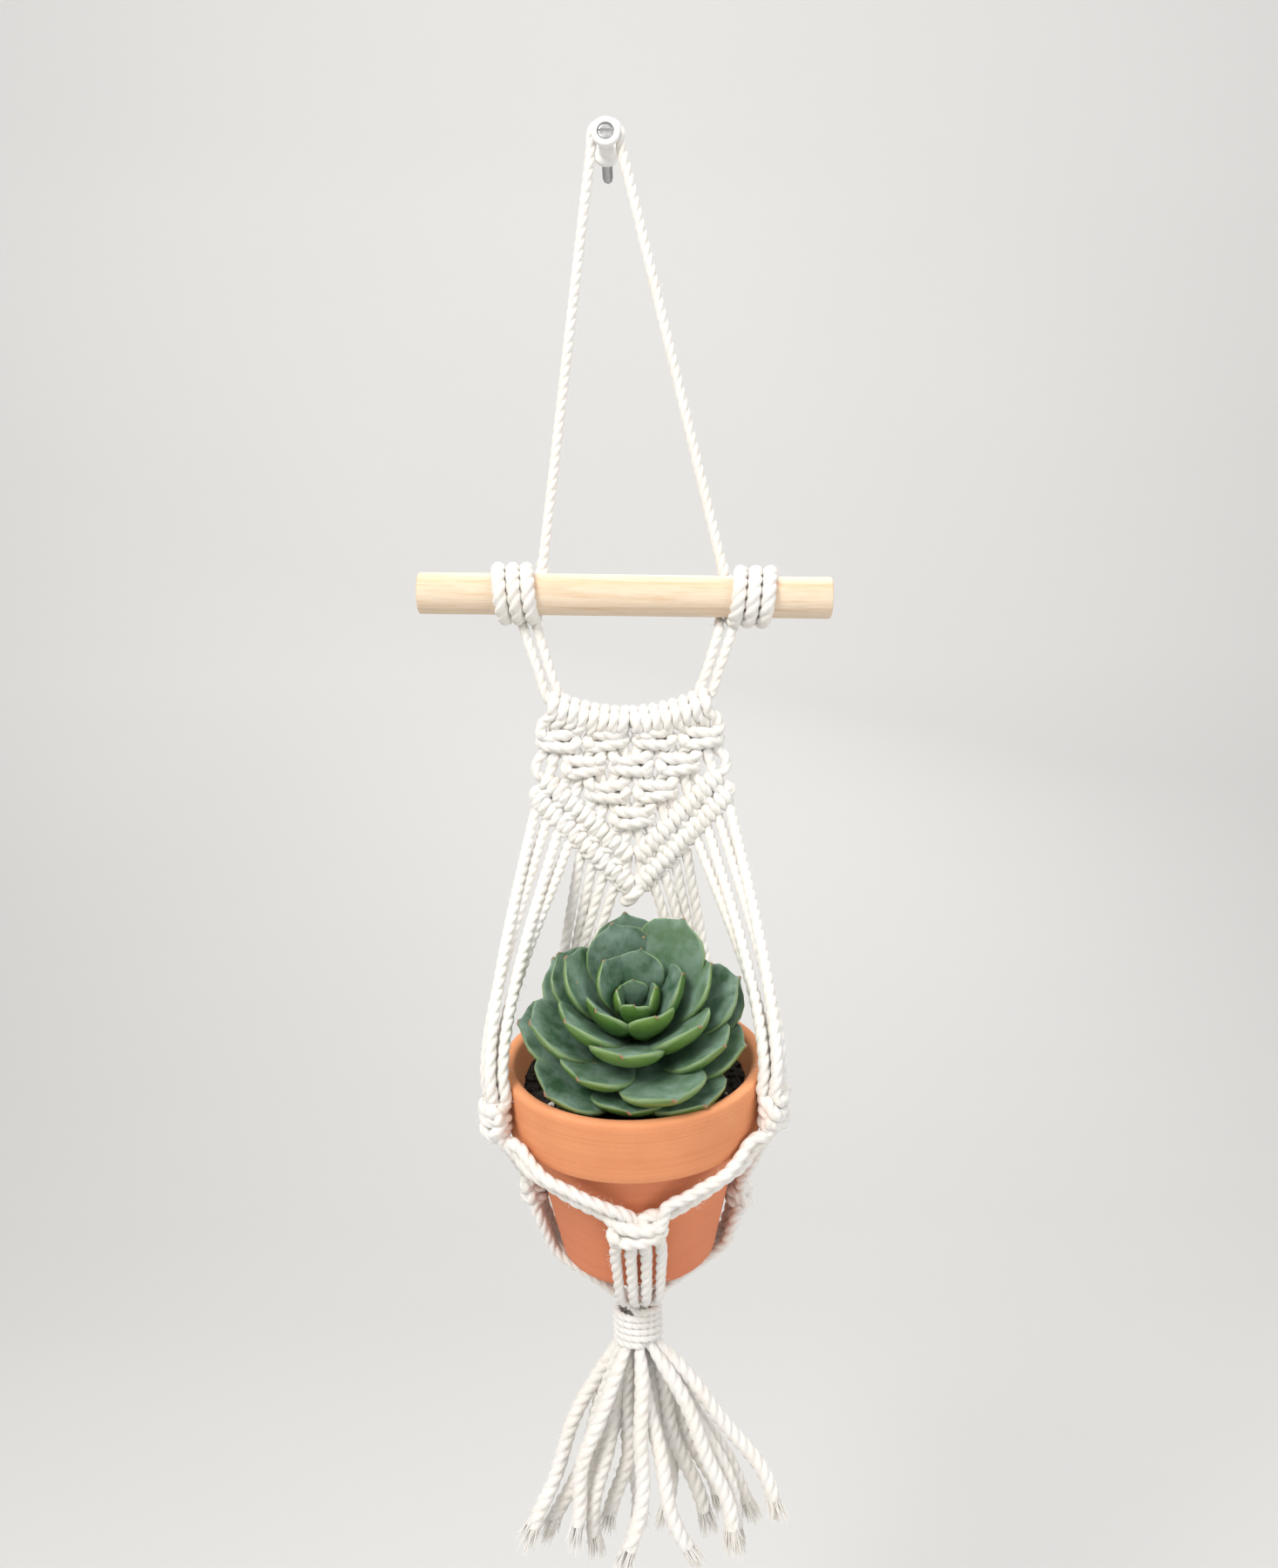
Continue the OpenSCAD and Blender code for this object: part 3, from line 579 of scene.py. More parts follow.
def holding_end(x, edge, side, k):
    """One end of a holding cord, from behind a wrap down to the panel's corner."""
    low = dowel_line(x)
    return [Vector((x, LINE_Y + 4.5, low - 6.6)), Vector((x - side * 0.3, LINE_Y + 1.6, low - 9.6)),
            Vector((mix(x, edge, 0.35), LINE_Y + 0.4, mix(low - 9, PANEL_TOP, 0.35))),
            Vector((mix(x, edge, 0.7), LINE_Y, mix(low - 9, PANEL_TOP, 0.7))),
            Vector((edge, LINE_Y, PANEL_TOP - side * 0.8 * k + 0.5))]


def holding_route(k):
    """One holding cord: down from the left wrap, through the panel's top edge, up to the right wrap."""
    edge = PANEL_W / 2 - 0.9
    left = holding_end(LEFT_WRAP + 3.4 + k * 2.1, PANEL_X - edge + k * 1.75, -1, k)
    right = holding_end(RIGHT_WRAP - 7.6 + k * 2.1, PANEL_X + edge + k * 1.75, 1, k)
    middle = [(i / 12 - 0.5) * (PANEL_W - 2) for i in range(1, 12)]
    return left + [Vector((PANEL_X + x, LINE_Y + k * 1.15, header_z(x) - 2.6)) for x in middle] + right[::-1]


holding = laid_cord("holding_cords", [(smooth(holding_route(k)), 0.98) for k in (-1, 1)], COTTON, seed=12)
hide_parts("yoke_left", "yoke_right", "header_cord")
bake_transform(holding)


def knot_runs(halves, bar):
    """Lines of the four strands of a knot, from top to bottom: left worker, two fillers, right worker.
    x is in half widths, y in depths with the front negative, z in millimetres."""
    a, b = [], []
    for m in range(halves):
        z = bar * (halves / 2 - m - 0.5)
        q = -1 if m % 2 == 0 else 1
        if m:
            a.append((q * 1.06, -0.35, z + bar / 2))
            b.append((-q * 1.03, -0.6, z + bar / 2))
        a += [(q * 0.8, -0.55, z + bar * 0.24), (q * 0.4, -1.0, z + bar * 0.1), (0, -1.08, z),
              (-q * 0.5, -0.92, z - bar * 0.08), (-q * 0.88, -0.4, z - bar * 0.22)]
        b += [(-q * 1.0, -0.78, z + bar * 0.42), (-q * 0.86, -0.95, z + bar * 0.12), (-q * 0.72, 0.05, z),
              (-q * 0.4, 0.9, z), (0, 1.0, z), (q * 0.5, 0.8, z), (q * 0.85, 0.1, z)]
    side = -1 if halves % 2 == 0 else 1
    a.append((side * 0.93, -0.05, -bar * halves / 2 - 0.1))
    b.append((-side * 0.93, 0.05, -bar * halves / 2 - 0.1))
    edge = bar * halves / 2
    fill = [[(k * 0.27, 0, edge), (k * 0.25, 0, 0), (k * 0.27, 0, -edge)] for k in (-1, 1)]
    return [a, *fill, b]


def knot_x(j):
    """Distance of strand j from the panel's middle."""
    return (j // 4 - 1.5) * KNOT_PITCH + (-6.3, -1.7, 1.7, 6.3)[j % 4]


def in_panel(x, y, z):
    return Vector((PANEL_X + x, LINE_Y + y, z))


def row_point(side, point_z, s, y=0.0, out=0.0):
    """A point by a row of hitches: s from the row's point along it, out below it."""
    return in_panel(side * (s * math.cos(HITCH_SLOPE) + out * math.sin(HITCH_SLOPE)), y,
                    point_z + s * math.sin(HITCH_SLOPE) - out * math.cos(HITCH_SLOPE))


def exit_point(side, i):
    """Where strand i of a side leaves the panel."""
    return row_point(side, LOWER_POINT, POINT_GAP + (7.5 - i) * LOWER_STEP, 0, 2.7)


def hitch(side, point_z, s, r=1.85):
    """One strand round the row's core: two bars to the front, in from above and out below."""
    out = []
    for i in range(1, 16):
        t = i * 1.5 / 16
        a = math.tau * t
        out.append(row_point(side, point_z, s + 2.35 * (0.75 - t), -r * math.sin(a), -r * math.cos(a)))
    return out


def panel_strand(j):
    """Strand j, 0 to 15 from the left: lark's head, square knots, two hitches, out below the panel."""
    side, i = (-1, j) if j < 8 else (1, 15 - j)
    mid = (j // 2 - 3.5) * PANEL_W / 8
    x = mid + (j % 2 - 0.5) * PANEL_W / 16
    top = header_z(x)
    lean = 0.9 * side
    pts = [in_panel(at, y, top + z) for at, y, z in (
        (mid, 3.0, -5.2), (mid + (x - mid) * 0.8, 3.5, -3.6), (x - lean * 0.5, 2.6, -0.4),
        (x - lean * 0.3, 0, 0.9), (x, -2.9, -0.9), (x + lean * 0.5, -3.7, -3.0), (x + lean, -2.9, -5.2))]
    down = ROW_TOP + 0.6
    if pts[-1].z > down + 1.5:
        pts.append(in_panel(mix(x + lean, knot_x(j), 0.6), -1.8, mix(pts[-1].z, down, 0.6)))
    for row in range(1, 5):
        first = 2 * (row - 1)
        if not first <= j <= 15 - first:
            continue
        slot = (j - first) % 4
        centre_x = (((j - first) // 4) - (3 - (row - 1)) / 2) * KNOT_PITCH
        flip = -1 if (row + (j - first) // 4) % 2 else 1
        z0 = ROW_TOP - (row - 0.5) * KNOT_ROW
        run = knot_runs(2, 3.3)[slot if flip > 0 else 3 - slot]
        for px, py, pz in run:
            wob = Vector((rng.uniform(-0.12, 0.12), rng.uniform(-0.1, 0.1), rng.uniform(-0.1, 0.1)))
            pts.append(in_panel(centre_x + flip * px * KNOT_HALF_W, py * KNOT_DEPTH, z0 + pz) + wob)
    if i == 0:
        pts += [in_panel(side * 29.2, -0.6, ROW_TOP - 10.6), row_point(side, UPPER_POINT, 39.6, -0.9, 0.6)]
        pts += [row_point(side, UPPER_POINT, 38 - 3.5 * k) for k in range(11)]
        pts += hitch(side, LOWER_POINT, HITCH_GAP + 0.5 * HITCH_STEP)
        last = 7
    else:
        pts += hitch(side, UPPER_POINT, HITCH_GAP + (7 - i + 0.5) * UPPER_STEP)
        pts += hitch(side, LOWER_POINT, HITCH_GAP + (8 - i + 0.5) * HITCH_STEP)
        last = i - 1
    return pts + [exit_point(side, last)]


def core_route(side):
    """The cord inside a lower row of hitches, with its turned end at the panel's corner."""
    turned_end = [(38.5, 2.2, -3.4), (41.8, 0.6, -3.0), (43.0, -0.6, -0.6)]
    along = [(40 - 4 * k, 0, 0) for k in range(10)]
    crossing = [(0.4, -2.4, 0.9), (-2.4, -2.6, 0.9), (-4.2, -0.6, 0.6), (-4.2, 2.0, 0.2)] if side > 0 else []
    return [row_point(side, LOWER_POINT, *at) for at in turned_end + along + crossing]


def panel_gauge(p):
    """Plump in the knots, a little tighter in the hitches."""
    over = (p.z - UPPER_POINT) * math.cos(HITCH_SLOPE) - abs(p.x - PANEL_X) * math.sin(HITCH_SLOPE)
    return mix(HITCH_GAUGE, KNOT_GAUGE, share_of(over, 3, 6))


for side, label in ((-1, "left"), (1, "right")):
    strands, knots = ((range(8), ("lark_knots", "square_knots_1", "square_knots_2")) if side < 0
                      else (range(8, 16), ("square_knots_3", "square_knots_4")))
    routes = [smooth(panel_strand(j), 0.5) for j in strands]
    routes = [(route, [panel_gauge(p) for p in route]) for route in routes]
    routes.append((smooth(core_route(side), 0.5), 1.16))
    panel = laid_cord("panel_strands_" + label, routes, COTTON, seed=20 + side, fluff=0.7)
    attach(panel, "cradle")
    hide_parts("hitches_upper_" + label, "hitches_lower_" + label, *knots)


# ---------- the cradle: sixteen strands from the panel to the binding ----------

def by_knot(k, x, y, z):
    """A point by a knot round the pot: x across, y out of the page negative, z up."""
    return by_pot(k[0] + math.degrees(x / k[1]), k[1] - y, k[2] + z)


def knot_path(k, slot, halves, bar, half_w, depth, out=0.0):
    return [by_knot(k, px * half_w, py * depth - out, pz) for px, py, pz in knot_runs(halves, bar)[slot]]


def pair_path(a, b, turn, b_w, b_h, k):
    """One of the two strands from an upper knot to a lower one, lying on the collar and the body."""
    start = (a[0] + math.degrees(turn * 0.22 * 9.6 / a[1]), a[2] - 5.0)
    end = (b[0] - math.degrees(turn * 0.24 * b_w / b[1]), b[2] + b_h / 2 - 0.5)
    arc = math.radians(end[0] - start[0]) * (COLLAR_R + CORD / 2 + GAP + 0.2)
    fall = end[1] - start[1]
    size = math.hypot(fall, arc)
    shift = k * (CORD / 2 + SEAT)
    out = []
    for i in range(8):
        t = i / 7
        h = mix(start[1], end[1], t) + shift * arc / size
        clear = COLLAR_R + (0.6 if h > -COLLAR_H - 2 else 0) + CORD / 2 + GAP
        r = mix(clear, b[1], share_of(h, -COLLAR_H - 1, end[1]))
        out.append(by_pot(mix(start[0], end[0], t) - math.degrees(shift * fall / size / r), r, h))
    return out


BUNCH = 0.58                    # gauge of the strands where the binding draws them together


def in_bundle(turn, i):
    a = math.radians(turn + (-30, 0, 30, 12)[i])
    r = 1.6 if i == 3 else BINDING_W / 2 - BINDING_CORD - 0.9
    return Vector((r * math.sin(a), -r * math.cos(a), 0))


def under_path(k, w, h, i):
    """Down from a lower knot, round the base's edge and in to the binding."""
    side = i - 1.5
    start = by_knot(k, side * 0.27 * w, 0, -h / 2 + 0.5)
    base_r = BASE_D / 2
    edge = by_pot(k[0] + math.degrees(side * 0.2 * w / base_r), base_r + CORD / 2 + GAP + 1.5, -POT_H + 1)
    end = BINDING_TOP + in_bundle(k[0], (0, 1, 3, 2)[i]) - Vector((0, 0, 0.2))
    return ([mix(start, edge, t / 4) for t in range(1, 4)]
            + cubic(edge, mix(edge, start, -0.38), end + Vector((0, 0, 4)), end, 6))

def cradle_gauge(route, knots):
    """Plump in the two knots, and drawn together on the way into the binding."""
    gauge = []
    for n, p in enumerate(route):
        plump = mix(KNOT_GAUGE, 1.0, share_of(min((p - m).length for m in knots), 7, 11))
        gauge.append(mix(plump, BUNCH, share_of(n / (len(route) - 1), 0.8, 1) ** 1.5))
    return gauge


# For each upper knot: the panel's side, its first strand, how far they bow out, and the lower knot and
# the pair of strands to its left and to its right
PATHS = {"front_left": (-1, 0, 2, ("left", "pair_side_left"), ("front", "pair_front_left")),
         "front_right": (1, 0, 2, ("front", "pair_front_right"), ("right", "pair_side_right")),
         "back_left": (-1, 4, 0, ("back", "pair_back_left"), ("left", "pair_rear_left")),
         "back_right": (1, 4, 0, ("right", "pair_rear_right"), ("back", "pair_back_right"))}
number = 0
for name, (side, first, bow, to_left, to_right) in PATHS.items():
    k = UPPER_KNOTS[name]
    for i in range(4):
        number += 1
        # From the panel into the upper knot, two strands behind two
        across = side * (i % 2 - 0.5) * (CORD + 0.1)
        deep = (0.5 - i // 2) * (CORD + 0.1)
        turned_by = k[0] + math.degrees(across / k[1])
        start = exit_point(side, first + i)
        end = by_pot(turned_by, k[1] + deep, k[2] + UPPER_H / 2 - 0.6)
        near = mix(start, end, 0.67)
        if bow:
            near = by_pot(turned_by, k[1] + deep + 2.5, k[2] + UPPER_H / 2 + 19.4)
        upper = cubic(start, mix(start, end, 0.33) + Vector((side * bow, 0, 0)), near, end, 9)
        worker = i < 2
        slot = (0 if across < 0 else 3) if worker else (1 if across < 0 else 2)
        knot = knot_path(k, slot, 3, 3.5, 4.2, 2.4, 0.5)

        # On to the lower knot on that side, and under the pot
        goes_left = (knot[-1] - by_knot(k, -3, 0, -5)).length < (knot[-1] - by_knot(k, 3, 0, -5)).length
        lower_name, pair_name = to_left if goes_left else to_right
        turn = -1 if goes_left else 1
        b = LOWER_KNOTS[lower_name]
        if lower_name == "back" and goes_left:
            b = (-b[0], b[1], b[2])
        w, h = LOWER_SIZE[lower_name]
        place = (0 if worker else 1) if turn > 0 else (3 if worker else 2)
        route = smooth(upper[:-1] + [end] + knot[1:] + pair_path(k, b, turn, w, h, -1 if worker else 1)[1:-1]
                       + knot_path(b, place, 2, 3.6, w / 2 - 1.8, 2.2, 0.2) + under_path(b, w, h, place))
        gauge = cradle_gauge(route, [by_knot(k, 0, 0, 0), by_knot(b, 0, 0, 0)])
        strand = laid_cord("cradle_strand_%02d" % number, [(route, gauge)], COTTON, seed=30 + number)
        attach(strand, "cradle")
        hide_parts("upper_cords_" + name, "knot_" + name, pair_name,
                    "knot_lower_" + lower_name, "lower_cords_" + lower_name)


# ---------- binding ----------

BIND_TURNS = 5
bind_r = (BINDING_W - BINDING_CORD) / 2
bind = []
for i in range(24 * BIND_TURNS + 1):
    t = i / 24
    a = math.tau * t
    r = bind_r + 0.12 * math.sin(2.3 * a)
    z = BINDING_H * (1 - (t + 0.35) / (BIND_TURNS + 0.7))
    bind.append(BINDING_END + Vector((r * math.sin(a), -r * math.cos(a), z)))
bind = [bind[0] + Vector((-1.5, 2.0, 1.2))] + bind + [bind[-1] + Vector((1.5, 2.2, -0.8))]
binding = laid_cord("binding_cord", [(smooth(bind, 0.4), 1.12)], BOUND, width=BINDING_CORD, seed=60,
                    **{"Points round": 18, "Ring spacing": 0.0005})
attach(binding, "cradle")
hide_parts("binding")


# ---------- tassel ----------

# For each strand: where its end hangs, across and forward, its share of the length, and its sway
ENDS = {"front": ((-21, 8, 0.9, -3), (-4, 13, 0.97, 3), (14, 11, 1, -4), (25, 9, 0.93, 5)),
        "left": ((-32, 3, 0.94, -4), (-27, -3, 0.96, 2), (-15, 3, 1, -2), (-10, -5, 0.96, 4)),
        "right": ((40, 2, 0.84, 3), (34, -4, 0.9, -2), (29, 3, 0.97, 4), (19, -3, 0.95, -3)),
        "back": ((-19, -9, 0.93, 2), (-2, -10, 1, -3), (8, -6, 0.96, 3), (22, -10, 0.92, 2))}
FACING = {"front": 0, "left": -90, "right": 90, "back": 180}
TUCK = 3.2                      # how far a strand reaches up inside the binding
FALL_STEPS, FRAYED_STEPS = 60, 4
number = 0
frays = []
for name, ends in ENDS.items():
    for i, (ex, ey, share, sway) in enumerate(ends):
        number += 1
        start = TASSEL_TOP + in_bundle(FACING[name], (0, 1, 3, 2)[i]) + Vector((0, 0, TUCK))
        fall = TASSEL_LEN * share + TUCK
        end = TASSEL_TOP + Vector((ex, -ey, TUCK - fall))
        pull = Vector((ex * 0.36 + sway, -ey * 0.36, -fall * 0.36))
        line = cubic(start, start + pull, end + Vector((-ex * 0.3 + sway, ey * 0.2, fall * 0.35)), end,
                     FALL_STEPS)
        wave = rng.uniform(0, 6.28)
        for n, p in enumerate(line):
            t = n / FALL_STEPS
            p.x += 1.5 * t * math.sin(10 * t + wave)
            p.y += 0.8 * t * math.cos(9 * t + wave)
        line = line[:-FRAYED_STEPS]
        gauge = [mix(BUNCH * 1.1, 1.34, min(1, n / 9) ** 0.8) for n in range(len(line))]
        strand = laid_cord("tassel_strand_%02d" % number, [(line, gauge)], COTTON, seed=70 + number,
                           fluff=1.3, **{"Ply centre": 0.31})
        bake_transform(strand)
        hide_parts("tassel_" + name)
        frays.append((line[-1], (line[-1] - line[-4]).normalized()))


def fibre_tree():
    """Thin tapering fibres along every line of a mesh."""
    g = Tree("Frayed fibres", {"Fibre width": 0.0004})
    width = g.times(g.gauge(), g.times(g.size["Fibre width"], 0.5))
    g.finish(g.tube(g.geo("MeshToCurve", {0: g.size["Geometry"]}), g.circle(4), width))
    return g


FIBRE = fibre_tree()
fray_routes = []
for tip, way in frays:
    side_a = way.cross(Vector((0, 1, 0))).normalized()
    side_b = way.cross(side_a)
    for n in range(80):
        a, r = rng.uniform(0, math.tau), math.sqrt(rng.random()) * 1.9
        out = side_a * math.cos(a) + side_b * math.sin(a)
        long = rng.uniform(5.0, 10.0)
        spread = rng.uniform(0.1, 0.7) * r
        p0 = tip - way * rng.uniform(1.5, 3.5) + out * r
        bend = Vector((rng.uniform(-0.5, 0.5), rng.uniform(-0.4, 0.4), 0))
        fray_routes.append(([p0, p0 + way * long * 0.4 + out * spread * 0.3,
                             p0 + way * long * 0.75 + out * spread * 0.8 + bend * 0.5,
                             p0 + way * long + out * spread * 1.5 + bend], [1.0, 1.0, 0.8, 0.3]))
fray = grown("tassel_frayed_ends", lines("tassel_frayed_ends", fray_routes), FIBRE,
             {"Fibre width": 0.0004, "Finish": COTTON})
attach(fray, "tassel")
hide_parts("tassel_front")


# ---------- turned pieces: peg, screw, dowel, pot ----------

def rounded(profile, radii):
    """A profile with its corners eased by the given radii."""
    out = []
    n = len(profile)
    for i, (p, r) in enumerate(zip(profile, radii)):
        p = Vector(p)
        if not r:
            out.append(p)
            continue
        before, after = Vector(profile[i - 1]) - p, Vector(profile[(i + 1) % n]) - p
        b = p + before.normalized() * min(r, before.length * 0.48)
        c = p + after.normalized() * min(r, after.length * 0.48)
        for t in (0, 0.25, 0.5, 0.75, 1):
            out.append((1 - t) ** 2 * b + 2 * t * (1 - t) * p + t * t * c)
    return out


def finer(profile, step, closed):
    out = []
    for a, b in zip(profile, profile[1:] + profile[:1] if closed else profile[1:]):
        n = max(1, int((b - a).length / step))
        out += [a + (b - a) * (i / n) for i in range(n)]
    return out if closed else out + [profile[-1]]


def shell(name, points, faces, label, carried):
    """A mesh with its faces outwards, whose points carry a set of numbers each."""
    mesh = bpy.data.meshes.new(name)
    mesh.from_pydata(points, [], faces)
    numbers = [c for row in carried for c in row]
    mesh.attributes.new(label, "FLOAT_VECTOR", "POINT").data.foreach_set("vector", numbers)
    work = bmesh.new()
    work.from_mesh(mesh)
    bmesh.ops.recalc_face_normals(work, faces=work.faces)
    work.to_mesh(mesh)
    work.free()
    return mesh


def turned(name, profile, step, closed, place, finish, around, ripple=None):
    """A piece turned on a lathe. Its profile is radius and height, an open one from axis to axis."""
    verts, faces, rings = [], [], []
    for r, h in finer([Vector(p) for p in profile], step, closed):
        if r < 1e-6:
            rings.append([len(verts)])
            verts.append(Vector((0, 0, h)))
            continue
        ring = []
        for i in range(around):
            a = math.tau * i / around
            rr = r + (ripple(a, r, h) if ripple else 0)
            ring.append(len(verts))
            verts.append(Vector((rr * math.sin(a), -rr * math.cos(a), h)))
        rings.append(ring)
    for low, high in zip(rings, rings[1:] + rings[:1] if closed else rings[1:]):
        for i in range(around):
            k = (i + 1) % around
            if len(low) == 1:
                faces.append((low[0], high[k], high[i]))
            elif len(high) == 1:
                faces.append((low[i], low[k], high[0]))
            else:
                faces.append((low[i], low[k], high[k], high[i]))
    mesh = shell(name, [(place @ v) * MM for v in verts], faces, "local", verts)
    mesh.materials.append(finish)
    mesh.polygons.foreach_set("use_smooth", [True] * len(mesh.polygons))
    return placed(name, mesh)


TO_WALL = Matrix.Rotation(math.radians(90), 4, "X")       # height runs out from the wall

peg_profile = rounded([(PEG_BORE_R, 0), (PEG_R, 0), (PEG_R, 2), (PEG_NECK_R, 2), (PEG_NECK_R, 12),
                       (PEG_R, 12), (PEG_R, 14), (2.65, 14), (2.65, 12.4), (PEG_BORE_R, 12.4)],
                      [0.15, 0.4, 0.5, 0.6, 0.6, 0.5, 0.6, 0.35, 0.1, 0.1])
peg = turned("peg_spool", peg_profile, 1.5, True, TO_WALL, PEG, 64)
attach(peg, "peg")
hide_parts("wall_peg")

SCREW_LEN, THREAD_PITCH = 20.0, 1.4


def thread(a, r, h):
    """A winding ridge on the part of the screw that sits in the wall."""
    if h > -1 or r < 0.4:
        return 0
    f = (h / THREAD_PITCH + a / math.tau) % 1
    return -0.5 * (1 - math.exp(-((f - 0.5) / 0.17) ** 2)) * min(1, -1 - h)


screw_profile = [(0, -SCREW_LEN), (1.74, 4 - SCREW_LEN), (1.74, 0), (1.3, 0), (1.3, 12.4), (2.5, 12.45),
                 (2.55, 13.3), (2.2, 13.6), (0, 13.6)]
screw = turned("peg_screw_turned", screw_profile, 0.28, False, TO_WALL, STEEL, 40, ripple=thread)
for v in screw.data.vertices:
    if v.co.y < -13.3 * MM and abs(v.co.z) < 0.42 * MM:
        v.co.y += 0.45 * MM                              # the driver's slot
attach(screw, "peg")
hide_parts("peg_screw")

dowel_profile = rounded([(0, -DOWEL_LEN / 2), (DOWEL_D / 2, -DOWEL_LEN / 2),
                         (DOWEL_D / 2, DOWEL_LEN / 2), (0, DOWEL_LEN / 2)], [0, 0.7, 0.7, 0])
ALONG_X = Matrix.Rotation(DOWEL_TILT, 4, "Y") @ Matrix.Rotation(math.radians(90), 4, "Y")
dowel = turned("dowel_turned", dowel_profile, 3.0, False, Matrix.Translation(DOWEL_MID) @ ALONG_X,
               PINE, 72, ripple=lambda a, r, h: 0.03 * math.sin(3 * a + h * 0.05) * (r > 5))
grain = [c for v in dowel.data.vertices
         for c in (Matrix.Rotation(DOWEL_TILT, 4, "Y").inverted() @ (v.co / MM - DOWEL_MID))]
dowel.data.attributes["local"].data.foreach_set("vector", grain)
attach(dowel, "hanger")
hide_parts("dowel")

top_in, base_in, neck_in = POT_D / 2 - WALL, BASE_D / 2 - WALL, NECK_D / 2 - WALL
DRAIN_R = 5
pot_profile = rounded(
    [(DRAIN_R, -POT_H), (BASE_D / 2, -POT_H), (NECK_D / 2, -COLLAR_H), (COLLAR_R, -COLLAR_H), (POT_D / 2, 0),
     (top_in, 0), (neck_in, -COLLAR_H), (base_in, -POT_H + WALL), (DRAIN_R, -POT_H + WALL)],
    [0.5, 1.6, 0.8, 1.1, 1.5, 1.4, 2.0, 2.0, 0.5])
pot = turned("pot_turned", pot_profile, 1.6, True, POT_PLACE, CLAY, 144,
             ripple=lambda a, r, h: (0.05 * math.sin(h * 1.9 + 0.6 * math.sin(a))
                                     + 0.06 * math.sin(2 * a + h * 0.03)))
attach(pot, "pot_and_plant")
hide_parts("pot")


# ---------- soil ----------

SOIL_TOP = -7.2


def soil_profile():
    """From the middle of the underside out, up the pot's wall and back over the top."""
    under, wall_r = -POT_H + WALL + 0.2, POT_D / 2 - WALL - 0.6
    rise = [(0, under), (base_in - 0.4, under), (neck_in - 0.4, -COLLAR_H), (wall_r - 0.5, -8.4)]
    top = [(wall_r - 0.5 - wall_r * t, SOIL_TOP) for t in (0.03, 0.15, 0.3, 0.45, 0.6, 0.75, 0.9)]
    return rise + top + [(0, SOIL_TOP)]


soil = turned("soil_bed", soil_profile(), 2.0, False, POT_PLACE, SOIL, 80,
              ripple=lambda a, r, h: -0.25 * abs(math.sin(7 * a + h)) - 0.2 * abs(math.cos(13 * a + r)))
lump = random.Random(5)
for v in soil.data.vertices:
    local = POT_PLACE.inverted() @ (v.co / MM)
    if local.z > -9:
        v.co += (POT_PLACE.to_3x3() @ Vector((0, 0, lump.uniform(-0.6, 0.45)))) * MM
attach(soil, "pot_and_plant")
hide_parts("soil")


def crumb_tree():
    """Crumbs scattered on the faces that look up along the pot."""
    g = Tree("Scattered crumbs", {"Crumbs per area": 160000.0, "Crumb width": 0.0015, "Up": (0, 0, 1),
                                  "Seed": 4})
    s = g.size
    facing = g.add("ShaderNodeVectorMath", {0: g.geo("InputNormal"), 1: s["Up"]},
                   operation="DOT_PRODUCT").outputs["Value"]
    up = g.get("FunctionNodeCompare", {0: facing, 1: 0.7}, data_type="FLOAT", operation="GREATER_THAN")
    spots = g.geo("DistributePointsOnFaces", {0: s["Geometry"], "Selection": up,
                                              "Density": s["Crumbs per area"], "Seed": s["Seed"]})
    lumpy = g.add("ShaderNodeTexNoise", {0: g.geo("InputPosition"), "Scale": 2.4}).outputs["Color"]
    push = g.get("ShaderNodeVectorMath", {0: lumpy, 1: (0.5, 0.5, 0.5)}, operation="SUBTRACT")
    crumb = g.geo("MeshIcoSphere", {"Radius": 0.5, "Subdivisions": 2})
    crumb = g.geo("SetPosition", {0: crumb, "Offset": push})
    spin = g.get("FunctionNodeEulerToRotation", {0: g.chance((0, 0, 0), (6.3, 6.3, 6.3), s["Seed"])})
    size = g.times(g.chance(0.35, 1.3, s["Seed"]), s["Crumb width"])
    g.finish(g.geo("InstanceOnPoints", {"Points": spots, "Instance": crumb, "Rotation": spin, "Scale": size}))
    return g


CRUMB = crumb_tree()
up_way = tuple(POT_PLACE.to_3x3() @ Vector((0, 0, 1)))
for name, finish, amount, wide, seed in (("soil_crumbs", SOIL, 190000.0, 0.0016, 4),
                                         ("perlite_bits", PERLITE, 5200.0, 0.0021, 9)):
    bits = grown(name, soil.data.copy(), CRUMB, {"Crumbs per area": amount, "Crumb width": wide, "Up": up_way,
                                                 "Seed": seed, "Finish": finish})
    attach(bits, "pot_and_plant")
    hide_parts("soil")


# ---------- succulent ----------

def leaf_mesh(name, length, width, thick, curl, cup):
    """One leaf from its root at the origin, pointing to the front, upper side up."""
    shape = ((0, 0.34), (0.14, 0.42), (0.3, 0.62), (0.46, 0.86), (0.6, 0.99), (0.7, 1.0), (0.8, 0.93),
             (0.88, 0.75), (0.925, 0.5), (0.95, 0.27), (0.97, 0.12), (1.0, 0.03))
    fat = ((0, 0.75), (0.3, 1.0), (0.6, 1.0), (0.8, 0.8), (0.92, 0.5), (1.0, 0.12))

    def at(table, u):
        for (a, x), (b, y) in zip(table, table[1:]):
            if u <= b:
                return x + (y - x) * (u - a) / (b - a)

    us = [i / 20 for i in range(18)] + [0.88, 0.905, 0.925, 0.95, 0.97, 0.985, 1.0]
    around = 20
    verts, faces, leaf = [], [], []
    for u in us:
        hw, th = at(shape, u) * width / 2, at(fat, u) * thick
        for i in range(around):
            a = math.tau * i / around
            v, up = math.cos(a), math.sin(a)
            arch = math.copysign(abs(up) ** 0.8, up)
            z = (0.30 if up > 0 else 0.72) * arch * th
            z += cup * v * v * hw + curl * u * u + 0.35 * math.sin(3.1 * u + v * 2)
            verts.append((v * hw, -length * u, z))
            leaf.append((u, abs(v), 1.0 if up > 0.02 else 0.0))
    for i in range(len(us) - 1):
        for j in range(around):
            k = (j + 1) % around
            faces.append((i * around + j, i * around + k, (i + 1) * around + k, (i + 1) * around + j))
    faces.append(tuple(range(around))[::-1])
    faces.append(tuple(len(verts) - around + j for j in range(around)))
    return shell(name, [Vector(v) * MM for v in verts], faces, "leaf", leaf)


